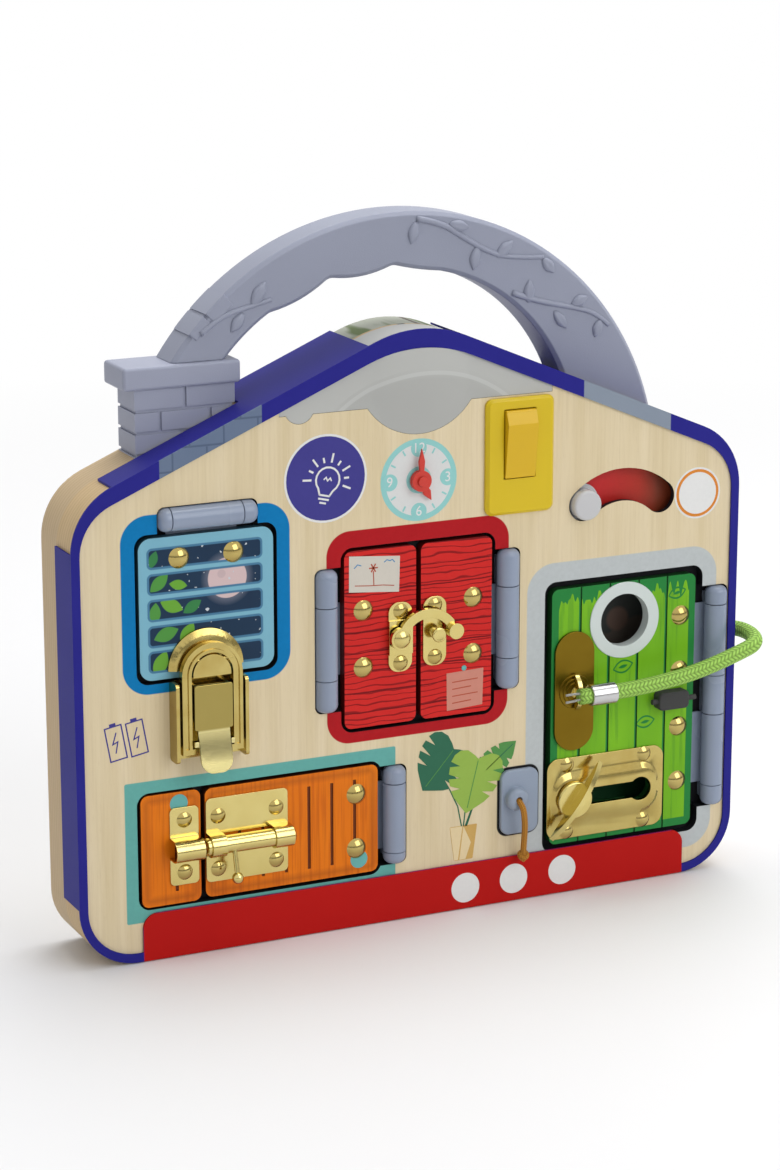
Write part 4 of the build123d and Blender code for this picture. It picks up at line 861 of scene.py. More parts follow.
@dataclass(frozen=True)
class Milky:
    """Milky moulded plastic that lets some light through."""

    name: str
    colour: Colour
    through: float
    swell: tuple[float, float, float] = (2.0, 164.7, 58.8)

    def material(self) -> bpy.types.Material:
        """Build the material.

        Returns:
            The finished material.
        """
        graph = Graph(self.name)
        cloud = graph.noise((0.05, 0.05, 0.05), 2.0)
        # Painted shade: the swell is painted in a darker tone than the flat cover round it, to show the
        # raised dome.
        paler = tuple(min(1.0, part * 1.10) for part in self.colour)
        swell = graph.disc(*self.swell)
        deeper = tuple(part * 0.95 for part in self.colour)
        tint = graph.mix(graph.ink(swell, 5.0), paler, graph.mix(cloud, self.colour, deeper))
        # Painted highlight: a pale line along the rim of the swell.
        tint = graph.mix(graph.line(swell, 1.6) * 0.45, tint, (0.62, 0.63, 0.61))
        graph.bump(graph.ink(swell, 4.0), 0.8, 0.6)
        graph.shader.inputs["Transmission Weight"].default_value = self.through
        graph.shader.inputs["IOR"].default_value = 1.46
        return graph.dress(tint, cloud * 0.1 + 0.26)


@dataclass(frozen=True)
class Circuit:
    """The light strip: green board with tracks, and clear yellow lamps on it."""

    name: str = "light_strip"

    def material(self) -> bpy.types.Material:
        """Build the material.

        Returns:
            The finished material.
        """
        graph = Graph(self.name)
        track = ((graph.x + graph.z) % 4.0).below(0.5, 0.2)
        board = graph.mix(track * 0.5, (0.02, 0.16, 0.06), (0.06, 0.30, 0.12))
        cloud = graph.noise((0.3, 0.3, 0.3), 1.0)
        lamps = graph.mix(cloud, (0.85, 0.72, 0.40), (0.92, 0.82, 0.55))
        return graph.dress(graph.mix(graph.y.above(-3.2, 0.1), lamps, board), cloud * 0.1 + 0.25)


@dataclass(frozen=True)
class WarmArc:
    """The slider's backing: bright red running into brown."""

    name: str = "slider_backing"

    def material(self) -> bpy.types.Material:
        """Build the material.

        Returns:
            The finished material.
        """
        graph = Graph(self.name)
        mottle = graph.noise((0.7, 0.7, 0.7), 2.0)
        red = graph.mix(graph.x.above(88.0, 30.0), (0.66, 0.012, 0.022), (0.46, 0.030, 0.014))
        brown = graph.mix(graph.x.above(106.0, 9.0), red, (0.20, 0.035, 0.012))
        return graph.dress(graph.mix(mottle * 0.15, brown, (0.10, 0.01, 0.01)), mottle * 0.08 + 0.36)


class Finish(Enum):
    """Every finish on the board, by the piece or stuff it is on."""

    BIRCH = BirchFront()
    BACK = BackWood()
    CARD = PrintedCard()
    PICTURES = Pictures()
    WINDOW = WindowPaint()
    RED_DOOR = RedPaint()
    ORANGE_DOOR = OrangePaint()
    GREEN_DOOR = GreenPaint()
    STRIP = Circuit()
    ARC = WarmArc()
    LAMP = Milky("milky_lamp", (0.455, 0.46, 0.44), 0.10)
    STONE = Plastic("stone_grey_plastic", (0.295, 0.315, 0.40), 0.46, 0.05)
    BRICK = Plastic("brick_grey_plastic", (0.325, 0.345, 0.44), 0.44, 0.05)
    HINGE = Plastic("hinge_plastic", (0.265, 0.315, 0.42), 0.27, 0.02, 0.25)
    BRASS = Metal("polished_brass", (0.66, 0.555, 0.215), 0.15)
    PLATE = Metal("plate_brass", (0.53, 0.425, 0.15), 0.17, 0.45)
    # Painted dark reflection: the latch's brass is darker than the other brass.
    LATCH = LeverBrass("latch_brass", (0.36, 0.285, 0.085), 0.14, 0.30)
    SATIN = Metal("satin_brass", (0.195, 0.125, 0.012), 0.30)
    RIVET = Metal("rivet_gold", (0.50, 0.395, 0.14), 0.12)
    STEEL = Metal("plain_steel", (0.56, 0.56, 0.57), 0.20, 0.1)
    RING = Plastic("white_ring", (0.62, 0.68, 0.66), 0.30)
    BUTTON = Plastic("slide_button", (0.54, 0.54, 0.55), 0.22, 0.02, 0.4)
    SWITCH = Plastic("switch_yellow", (0.68, 0.49, 0.008), 0.30, 0.02)
    ROCKER = Plastic("rocker_yellow", (0.70, 0.44, 0.010), 0.28, 0.02)
    CLOCK_RED = Plastic("clock_red", (0.62, 0.045, 0.03), 0.28, 0.02)
    GREY = Plastic("knob_grey", (0.28, 0.335, 0.43), 0.34)
    BLACK = Plastic("black_plastic", (0.030, 0.032, 0.028), 0.34)
    GREEN_CORD = Braid("green_braid", (0.34, 0.60, 0.10))
    ORANGE_CORD = Braid("orange_braid", (0.56, 0.24, 0.022), 8, 1.3)
    THREAD = Braid("white_thread", (0.62, 0.62, 0.58), 4, 2.5)
    WHITE_INK = Ink("white_ink", (0.74, 0.74, 0.73))
    NAVY_INK = Ink("navy_ink", (0.040, 0.034, 0.24))
    TEAL_INK = Ink("teal_ink", (0.13, 0.42, 0.40))
    PALE_TEAL_INK = Ink("pale_teal_ink", (0.27, 0.58, 0.56))
    FACE_INK = Ink("clock_face_ink", (0.66, 0.67, 0.66))
    ORANGE_INK = Ink("orange_ink", (0.66, 0.22, 0.02))
    PAPER_INK = Ink("paper_ink", (0.60, 0.56, 0.49))
    PINK_INK = Ink("pink_ink", (0.58, 0.23, 0.17))
    BLUE_INK = Ink("blue_ink", (0.06, 0.24, 0.45))
    RUST_INK = Ink("rust_ink", (0.42, 0.07, 0.03))
    LEAF_DARK = Ink("dark_leaf_ink", (0.019, 0.13, 0.068))
    LEAF_MID = Ink("mid_leaf_ink", (0.075, 0.26, 0.06))
    LEAF_LIGHT = Ink("light_leaf_ink", (0.28, 0.44, 0.065))
    POT_DARK = Ink("pot_ochre_ink", (0.58, 0.36, 0.10))
    POT_PALE = Ink("pot_pale_ink", (0.74, 0.60, 0.35))

    def material(self) -> bpy.types.Material:
        """Return the finish's material, built the first time it is asked for."""
        made = bpy.data.materials.get(self.value.name)
        return made if made else self.value.material()


# Shaping


def upright(x: float, front: float, z: float) -> Matrix:
    """Return the place of a flat drawing that faces the front, from millimetres."""
    return Matrix.Translation((x * MM, front * MM, z * MM)) @ Matrix.Rotation(math.pi / 2, 4, "X")


def stand(name: str, data: bpy.types.ID) -> bpy.types.Object:
    """Make an object and link it into the scene.

    Args:
        name: the object's name.
        data: its mesh, curve, lamp or camera.

    Returns:
        The new object.
    """
    made = bpy.data.objects.new(name, data)
    bpy.context.scene.collection.objects.link(made)
    return made


def sweep(points: Sequence[Vector], radii: Sequence[float], sides: int) -> bmesh.types.BMesh:
    """Carry a circle along a line and return the closed tube, with an unrolled map.

    Args:
        points: the middle line, in metres.
        radii: the radius at each point, in metres.
        sides: how many sides the tube has.

    Returns:
        A new mesh under construction.
    """
    tube = bmesh.new()
    heading = (points[1] - points[0]).normalized()
    turn = heading.to_track_quat("Z", "Y")
    spots: dict[bmesh.types.BMVert, tuple[float, int]] = {}
    travelled = 0.0
    rings: list[list[bmesh.types.BMEdge]] = []
    for index, point in enumerate(points):
        ahead = points[min(index + 1, len(points) - 1)] - points[max(index - 1, 0)]
        turn = heading.rotation_difference(ahead.normalized()) @ turn
        heading = ahead.normalized()
        if index:
            travelled += (point - points[index - 1]).length
        place = Matrix.Translation(point) @ turn.to_matrix().to_4x4()
        made = bmesh.ops.create_circle(
            tube, cap_ends=False, segments=sides, radius=radii[index], matrix=place
        )
        for step, corner in enumerate(made["verts"]):
            spots[corner] = (travelled / MM, step)
        rings.append(list({edge for corner in made["verts"] for edge in corner.link_edges}))
    for before, after in zip(rings, rings[1:]):
        bmesh.ops.bridge_loops(tube, edges=before + after)
    unrolled = tube.loops.layers.uv.new("unrolled")
    for face in tube.faces:
        steps = [spots[loop.vert][1] for loop in face.loops]
        wraps = max(steps) - min(steps) > sides / 2
        for loop in face.loops:
            along, step = spots[loop.vert]
            step = sides if wraps and step == 0 else step
            loop[unrolled].uv = (step / sides, along)
        face.smooth = True
    bmesh.ops.holes_fill(tube, edges=rings[0] + rings[-1], sides=sides)
    bmesh.ops.recalc_face_normals(tube, faces=tube.faces[:])
    return tube


def smooth_line(name: str, route: Sequence[Place], count: int = 12) -> list[Vector]:
    """Run a smooth line through a route.

    Args:
        name: a name for the line while it is read.
        route: control points in millimetres.
        count: points between two control points.

    Returns:
        The points along the line, in metres.
    """
    curve = bpy.data.curves.new(name + "_line", "CURVE")
    curve.dimensions = "3D"
    spline = curve.splines.new("NURBS")
    spline.points.add(len(route) - 1)
    for point, spot in zip(spline.points, route):
        point.co = (*(Vector(spot) * MM), 1.0)
    spline.order_u = 3
    spline.use_endpoint_u = True
    spline.resolution_u = count
    carrier = stand(name + "_line", curve)
    bpy.context.view_layer.update()
    line = bpy.data.meshes.new_from_object(carrier)
    points = [corner.co.copy() for corner in line.vertices]
    bpy.data.objects.remove(carrier)
    bpy.data.meshes.remove(line)
    return points


class Shape:
    """Closed bodies gathered into one piece, each with its own finish."""

    def __init__(self) -> None:
        """Start empty."""
        self.mesh = bmesh.new()
        self.finishes: list[Finish] = []

    def take(self, part: bmesh.types.BMesh, finish: Finish, smooth: bool = False) -> "Shape":
        """Add a finished body.

        Args:
            part: the body, which is used up.
            finish: what it is covered with.
            smooth: whether its faces are shaded round.

        Returns:
            This shape.
        """
        if finish not in self.finishes:
            self.finishes.append(finish)
        for face in part.faces:
            face.material_index = self.finishes.index(finish)
            face.smooth = smooth or face.smooth
        holder = bpy.data.meshes.new("holder")
        part.to_mesh(holder)
        part.free()
        self.mesh.from_mesh(holder)
        bpy.data.meshes.remove(holder)
        return self

    def thicken(
        self, part: bmesh.types.BMesh, front: float, back: float, rim: float, finish: Finish
    ) -> "Shape":
        """Give flat faces at the front a depth and a softened rim.

        Args:
            part: the flat faces.
            front: where they lie.
            back: how far the body reaches.
            rim: radius of the softened front edge.
            finish: what it is covered with.

        Returns:
            This shape.
        """
        pushed = bmesh.ops.extrude_face_region(part, geom=part.faces[:])
        moved = [item for item in pushed["geom"] if isinstance(item, bmesh.types.BMVert)]
        bmesh.ops.translate(part, verts=moved, vec=(0.0, (back - front) * MM, 0.0))
        bmesh.ops.recalc_face_normals(part, faces=part.faces[:])
        if rim:
            near = [
                edge
                for edge in part.edges
                if edge.calc_face_angle(0.0) > 0.7
                and all(abs(end.co.y - front * MM) < 1e-6 for end in edge.verts)
            ]
            bmesh.ops.bevel(
                part, geom=near, offset=rim * MM, affect="EDGES", segments=2, profile=0.5, material=-1
            )
        return self.take(part, finish)

    def slab(
        self,
        outline: Sequence[Point],
        front: float,
        finish: Finish,
        back: float = FRONT,
        rounding: float = 0.0,
        rim: float = 0.0,
    ) -> "Shape":
        """Add a flat plate from its corners.

        Args:
            outline: corners as x and z.
            front: how near its face is.
            finish: what it is covered with.
            back: where it is seated.
            rounding: radius of its corners.
            rim: radius of its softened front edge.

        Returns:
            This shape.
        """
        part = bmesh.new()
        part.faces.new([part.verts.new((x * MM, front * MM, z * MM)) for x, z in outline])
        if rounding:
            corners = part.verts[:]
            bmesh.ops.bevel(
                part,
                geom=corners,
                offset=rounding * MM,
                affect="VERTICES",
                segments=4,
                profile=0.5,
                material=-1,
            )
        return self.thicken(part, front, back, rim, finish)

    def disc(
        self,
        x: float,
        z: float,
        radius: float,
        front: float,
        finish: Finish,
        back: float = FRONT,
        rim: float = 0.0,
    ) -> "Shape":
        """Add a flat disc.

        Args:
            x: its middle across.
            z: its middle up.
            radius: from its middle to its rim.
            front: how near its face is.
            finish: what it is covered with.
            back: where it is seated.
            rim: radius of its softened front edge.

        Returns:
            This shape.
        """
        part = bmesh.new()
        place = upright(x, front, z)
        bmesh.ops.create_circle(part, cap_ends=True, segments=48, radius=radius * MM, matrix=place)
        return self.thicken(part, front, back, rim, finish)

    def stroke(
        self, points: Sequence[Point], width: float, front: float, finish: Finish, back: float = FRONT
    ) -> "Shape":
        """Add a drawn line of even width.

        Args:
            points: where it runs, as x and z.
            width: how broad it is.
            front: how near its face is.
            finish: what it is covered with.
            back: where it is seated.

        Returns:
            This shape.
        """
        part = bmesh.new()
        closed = points[0] == points[-1]
        sides: list[tuple[bmesh.types.BMVert, bmesh.types.BMVert]] = []
        for index, point in enumerate(points[:-1] if closed else points):
            here = Vector(point)
            before = Vector(points[index - 1]) if index or not closed else Vector(points[-2])
            after = Vector(points[index + 1]) if index + 1 < len(points) else here
            into = (here - before).normalized() if index or closed else (after - here).normalized()
            out = (after - here).normalized() if index + 1 < len(points) else into
            along = (into + out).normalized()
            reach = width / 2 / max(0.4, along.dot(out))
            step = Vector((-along.y, along.x)) * reach
            edges = (here - step, here + step)
            sides.append(tuple(part.verts.new((spot.x * MM, front * MM, spot.y * MM)) for spot in edges))
        if closed:
            sides.append(sides[0])
        for (a, b), (c, d) in zip(sides, sides[1:]):
            part.faces.new((a, b, d, c))
        return self.thicken(part, front, back, 0.0, finish)

    def tube(
        self, points: Sequence[Place], radius: float, finish: Finish, sides: int = 10, taper: float = 1.0
    ) -> "Shape":
        """Add a round bar along a smooth line.

        Args:
            points: where it runs.
            radius: half its thickness at the near end.
            finish: what it is covered with.
            sides: how many sides it has.
            taper: its thickness at the far end, as a share of the near end's.

        Returns:
            This shape.
        """
        line = smooth_line("bar", points, 8)
        last = len(line) - 1
        radii = [radius * MM * (1 + (taper - 1) * index / last) for index in range(last + 1)]
        return self.take(sweep(line, radii, sides), finish, True)

    def leaf(
        self, x: float, z: float, reach: Point, turn: float, base: float, rise: float, finish: Finish
    ) -> "Shape":
        """Add a crowned leaf with a point and a midrib.

        Args:
            x: its middle across.
            z: its middle up.
            reach: its length and breadth.
            turn: its lean from level, in degrees.
            base: the surface it grows from.
            rise: how far it stands out.
            finish: what it is covered with.

        Returns:
            This shape.
        """
        part = bmesh.new()
        bmesh.ops.create_uvsphere(part, u_segments=20, v_segments=12, radius=1.0)
        long, broad = reach
        for corner in part.verts:
            along = corner.co.x
            pull = 1.0 - 0.62 * max(0.0, along) ** 1.6 - 0.18 * max(0.0, -along)
            rib = 0.22 * math.exp(-((corner.co.z * 4.0) ** 2)) * (1.0 if corner.co.y < 0 else 0.0)
            corner.co.z *= pull
            corner.co.y *= 1.0 - rib
        size = Matrix.Diagonal((long / 2 * MM, rise * MM, broad / 2 * MM, 1.0))
        place = Matrix.Translation((x * MM, base * MM, z * MM)) @ Matrix.Rotation(-math.radians(turn), 4, "Y")
        bmesh.ops.transform(part, matrix=place @ size, verts=part.verts[:])
        bmesh.ops.recalc_face_normals(part, faces=part.faces[:])
        return self.take(part, finish, True)

    def numeral(
        self, text: str, x: float, z: float, height: float, front: float, finish: Finish
    ) -> "Shape":
        """Add a plain number, centred on a point of the board.

        Args:
            text: its digits.
            x: its middle across.
            z: its middle up.
            height: how tall the digits are.
            front: how near they lie.
            finish: what they are printed with.

        Returns:
            This shape.
        """
        words = bpy.data.curves.new("numeral", "FONT")
        words.body = text
        words.size = height * MM * 1.35
        words.align_x = "CENTER"
        words.align_y = "CENTER"
        words.extrude = 0.02 * MM
        words.resolution_u = 4
        carrier = stand("numeral", words)
        bpy.context.view_layer.update()
        flat = bpy.data.meshes.new_from_object(carrier)
        part = bmesh.new()
        part.from_mesh(flat)
        bmesh.ops.transform(part, matrix=upright(x, front, z), verts=part.verts[:])
        bpy.data.objects.remove(carrier)
        bpy.data.meshes.remove(flat)
        return self.take(part, finish)

    def piece(self, name: str, body: str) -> bpy.types.Object:
        """Make the object and let it ride on a body.

        Args:
            name: the piece's name.
            body: the moving body that carries it.

        Returns:
            The new piece.
        """
        mesh = bpy.data.meshes.new(name)
        self.mesh.to_mesh(mesh)
        self.mesh.free()
        for finish in self.finishes:
            mesh.materials.append(finish.material())
        made = stand(name, mesh)
        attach(made, body)
        LOG.info("%s rides on %s", name, body)
        return made


def cover(node: str, finish: Finish) -> None:
    """Give a node that keeps its solid shape a better finish.

    Args:
        node: the node's name.
        finish: what it is covered with.
    """
    mesh = frame["nodes"][node].data
    mesh.materials.clear()
    mesh.materials.append(finish.material())
    LOG.info("%s is finished", node)


def refine(node: str, finish: Finish, rim: float = 0.0, sharp: float = 34.0) -> bpy.types.Object:
    """Replace a node by a merged copy with clean shading and softened edges.

    Args:
        node: the node's name.
        finish: what it is covered with.
        rim: width of the softened edges, in millimetres.
        sharp: the angle from which an edge counts as one, in degrees.

    Returns:
        The new piece.
    """
    source = frame["nodes"][node]
    part = bmesh.new()
    part.from_mesh(source.data)
    bmesh.ops.remove_doubles(part, verts=part.verts[:], dist=MERGE_DISTANCE)
    bmesh.ops.dissolve_limit(part, angle_limit=FLAT_ANGLE, verts=part.verts[:], edges=part.edges[:])
    for face in part.faces:
        face.smooth = True
    for edge in part.edges:
        edge.smooth = edge.calc_face_angle(0.0) < math.radians(sharp)
    mesh = bpy.data.meshes.new(node + "_piece")
    part.to_mesh(mesh)
    part.free()
    if "custom_normal" in mesh.attributes:
        mesh.attributes.remove(mesh.attributes["custom_normal"])
    mesh.materials.clear()
    mesh.materials.append(finish.material())
    made = stand(node + "_piece", mesh)
    if rim:
        soften = made.modifiers.new("softened_edges", "BEVEL")
        soften.width = rim * MM
        soften.segments = 2
        soften.limit_method = "ANGLE"
        soften.angle_limit = math.radians(sharp)
        soften.use_clamp_overlap = True
        soften.harden_normals = True
    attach(made, source["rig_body"])
    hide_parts(node)
    LOG.info("%s replaces %s", made.name, node)
    return made


# Sub-assemblies


@dataclass(frozen=True)
class Studio:
    """Camera, pale floor and soft light."""

    eye: Place = (-0.5387, -1.1340, 0.4654)
    tilt: float = 75.22
    swing: float = -0.44038
    lens: float = 100.1
    floor_reach: float = 9.0
    fade: float = 760.0
    day: float = 0.50

    def set_camera(self) -> None:
        """Place the camera at the photograph's viewpoint."""
        camera = bpy.data.cameras.new("camera")
        camera.lens = self.lens
        carrier = stand("camera", camera)
        carrier.location = self.eye
        carrier.rotation_euler = (math.radians(self.tilt), 0.0, self.swing)
        bpy.context.scene.camera = carrier
        bpy.context.scene.view_settings.view_transform = "Standard"

    def lay_floor(self) -> None:
        """Lay the pale floor, which fades to white far from the board."""
        part = bmesh.new()
        bmesh.ops.create_grid(part, x_segments=8, y_segments=8, size=self.floor_reach)
        mesh = bpy.data.meshes.new("floor")
        part.to_mesh(mesh)
        part.free()
        graph = Graph("pale_floor")
        away = graph.length(graph.x, graph.y)
        speckle = graph.noise((0.05, 0.05, 0.05), 2.0)
        paper = graph.mix(speckle * 0.3, (0.80, 0.80, 0.808), (0.82, 0.82, 0.828))
        mesh.materials.append(graph.dress(paper, 0.6))
        camera = graph.add("ShaderNodeLightPath", {}, {}, "Is Camera Ray")
        mirror = graph.add("ShaderNodeLightPath", {}, {}, "Is Glossy Ray")
        through = graph.add("ShaderNodeLightPath", {}, {}, "Is Transmission Ray")
        far = away.above(self.fade, self.fade) * camera.most(mirror).most(through)
        glow = graph.add("ShaderNodeEmission", {}, {"Color": (1.0, 1.0, 1.0), "Strength": 1.0})
        lit = Signal(graph, graph.shader.outputs[0])
        blend = graph.add("ShaderNodeMixShader", {}, {0: far, 1: lit, 2: glow})
        graph.tree.links.new(blend.socket, graph.tree.nodes["Material Output"].inputs["Surface"])
        floor = stand("floor", mesh)

    def light(self) -> None:
        """Surround the board with soft daylight, and hang a broad lamp overhead and one in front."""
        world = bpy.data.worlds.new("studio")
        bpy.context.scene.world = world
        world.use_nodes = True
        nodes, links = world.node_tree.nodes, world.node_tree.links
        ground = nodes["Background"]
        ground.inputs["Color"].default_value = (1.0, 1.0, 1.0, 1.0)
        ground.inputs["Strength"].default_value = self.day
        backdrop = nodes.new("ShaderNodeBackground")
        backdrop.inputs["Color"].default_value = (1.0, 1.0, 1.0, 1.0)
        room = nodes.new("ShaderNodeBackground")
        way = nodes.new("ShaderNodeTexCoord")
        parts = nodes.new("ShaderNodeSeparateXYZ")
        links.new(way.outputs["Generated"], parts.inputs[0])
        ceiling = nodes.new("ShaderNodeMapRange")
        ceiling.interpolation_type = "SMOOTHSTEP"
        for socket, value in zip(ceiling.inputs[1:5], (-0.02, 0.30, 0.12, 1.0)):
            socket.default_value = value
        links.new(parts.outputs[2], ceiling.inputs[0])
        links.new(ceiling.outputs[0], room.inputs["Strength"])
        room.inputs["Color"].default_value = (1.0, 1.0, 1.0, 1.0)
        behind = nodes.new("ShaderNodeMapRange")
        behind.interpolation_type = "SMOOTHSTEP"
        for socket, value in zip(behind.inputs[1:5], (-0.45, -0.05, 0.0, 1.0)):
            socket.default_value = value
        links.new(parts.outputs[1], behind.inputs[0])
        mirrored = nodes.new("ShaderNodeMixShader")
        links.new(behind.outputs[0], mirrored.inputs[0])
        links.new(room.outputs[0], mirrored.inputs[1])
        links.new(backdrop.outputs[0], mirrored.inputs[2])
        rays = nodes.new("ShaderNodeLightPath")
        seen = nodes.new("ShaderNodeMath")
        seen.operation = "MAXIMUM"
        links.new(rays.outputs["Is Camera Ray"], seen.inputs[0])
        links.new(rays.outputs["Is Transmission Ray"], seen.inputs[1])
        shone = nodes.new("ShaderNodeMixShader")
        links.new(rays.outputs["Is Glossy Ray"], shone.inputs[0])
        links.new(ground.outputs[0], shone.inputs[1])
        links.new(mirrored.outputs[0], shone.inputs[2])
        both = nodes.new("ShaderNodeMixShader")
        links.new(seen.outputs[0], both.inputs[0])
        links.new(shone.outputs[0], both.inputs[1])
        links.new(backdrop.outputs[0], both.inputs[2])
        links.new(both.outputs[0], nodes["World Output"].inputs["Surface"])
        for name, spot, aim, size, watts in (
            ("overhead_lamp", (0.38, 0.30, 1.75), (0.0, 0.0, 0.15), 1.5, 26.0),
            ("front_lamp", (0.85, -1.75, 1.2), (0.0, 0.0, 0.12), 1.5, 17.0),
        ):
            lamp = bpy.data.lights.new(name, "AREA")
            lamp.energy = watts
            lamp.size = size
            carrier = stand(name, lamp)
            carrier.location = spot
            carrier.rotation_euler = (Vector(aim) - Vector(spot)).to_track_quat("-Z", "Y").to_euler()


@dataclass(frozen=True)
class Cords:
    """The green pull cord of the key and the short orange string of the grey knob."""

    green_route: tuple[Place, ...] = (
        (66.0, -30.0, 87.2),
        (83.0, -30.0, 87.2),
        (101.0, -31.1, 88.6),
        (119.5, -31.5, 91.4),
        (136.6, -31.5, 96.2),
        (151.5, -29.6, 100.4),
        (151.5, -8.2, 102.0),
        (137.0, -8.2, 102.0),
    )
    orange_route: tuple[Place, ...] = (
        (42.4, -18.0, 44.8),
        (42.4, -26.6, 44.8),
        (43.4, -27.2, 36.4),
        (44.4, -24.6, 28.2),
        (45.1, -22.4, 20.2),
    )
    green_radius: float = 3.2
    orange_radius: float = 1.25

    def hang(
        self, name: str, route: Sequence[Place], radius: float, finish: Finish, node: str
    ) -> tuple[bpy.types.Object, list[Vector]]:
        """Sweep one cord along its route.

        Args:
            name: the piece's name.
            route: control points in millimetres.
            radius: half its thickness.
            finish: its braid.
            node: the solid that it stands for.

        Returns:
            The cord's object and the points it follows.
        """
        line = smooth_line(name, route, 16)
        mesh = bpy.data.meshes.new(name)
        tube = sweep(line, [radius * MM] * len(line), 24)
        tube.to_mesh(mesh)
        tube.free()
        mesh.materials.append(finish.material())
        cord = stand(name, mesh)
        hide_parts(node)
        return cord, line

    def build(self) -> None:
        green, line = self.hang(
            "green_pull_cord", self.green_route, self.green_radius, Finish.GREEN_CORD, "green_cord"
        )
        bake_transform(green)
        tuple(line[0])
        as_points(line)
        orange, line = self.hang(
            "orange_string", self.orange_route, self.orange_radius, Finish.ORANGE_CORD, "orange_cord"
        )
        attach(orange, "board")
        knot = self.knot()
        tuple(line[0])
        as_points(line)
        LOG.info("cords hang")

    def knot(self) -> bpy.types.Object:
        """Tie the small overhand knot at the string's end.

        Returns:
            The knot.
        """
        shape = Shape()
        x, y, z = self.orange_route[-1]
        turns = [
            (x - 1.3, y + 0.2, z + 1.6),
            (x - 1.7, y - 0.9, z + 0.2),
            (x + 0.2, y - 1.6, z - 0.6),
            (x + 1.7, y - 0.6, z + 0.5),
            (x + 1.2, y + 1.0, z + 1.5),
            (x - 1.2, y + 1.1, z + 1.3),
            (x - 1.5, y - 0.4, z - 0.4),
            (x + 0.4, y - 0.4, z - 1.6),
        ]
        shape.tube(turns, self.orange_radius * 0.8, Finish.ORANGE_CORD, 12)
        return shape.piece("orange_knot", "board")


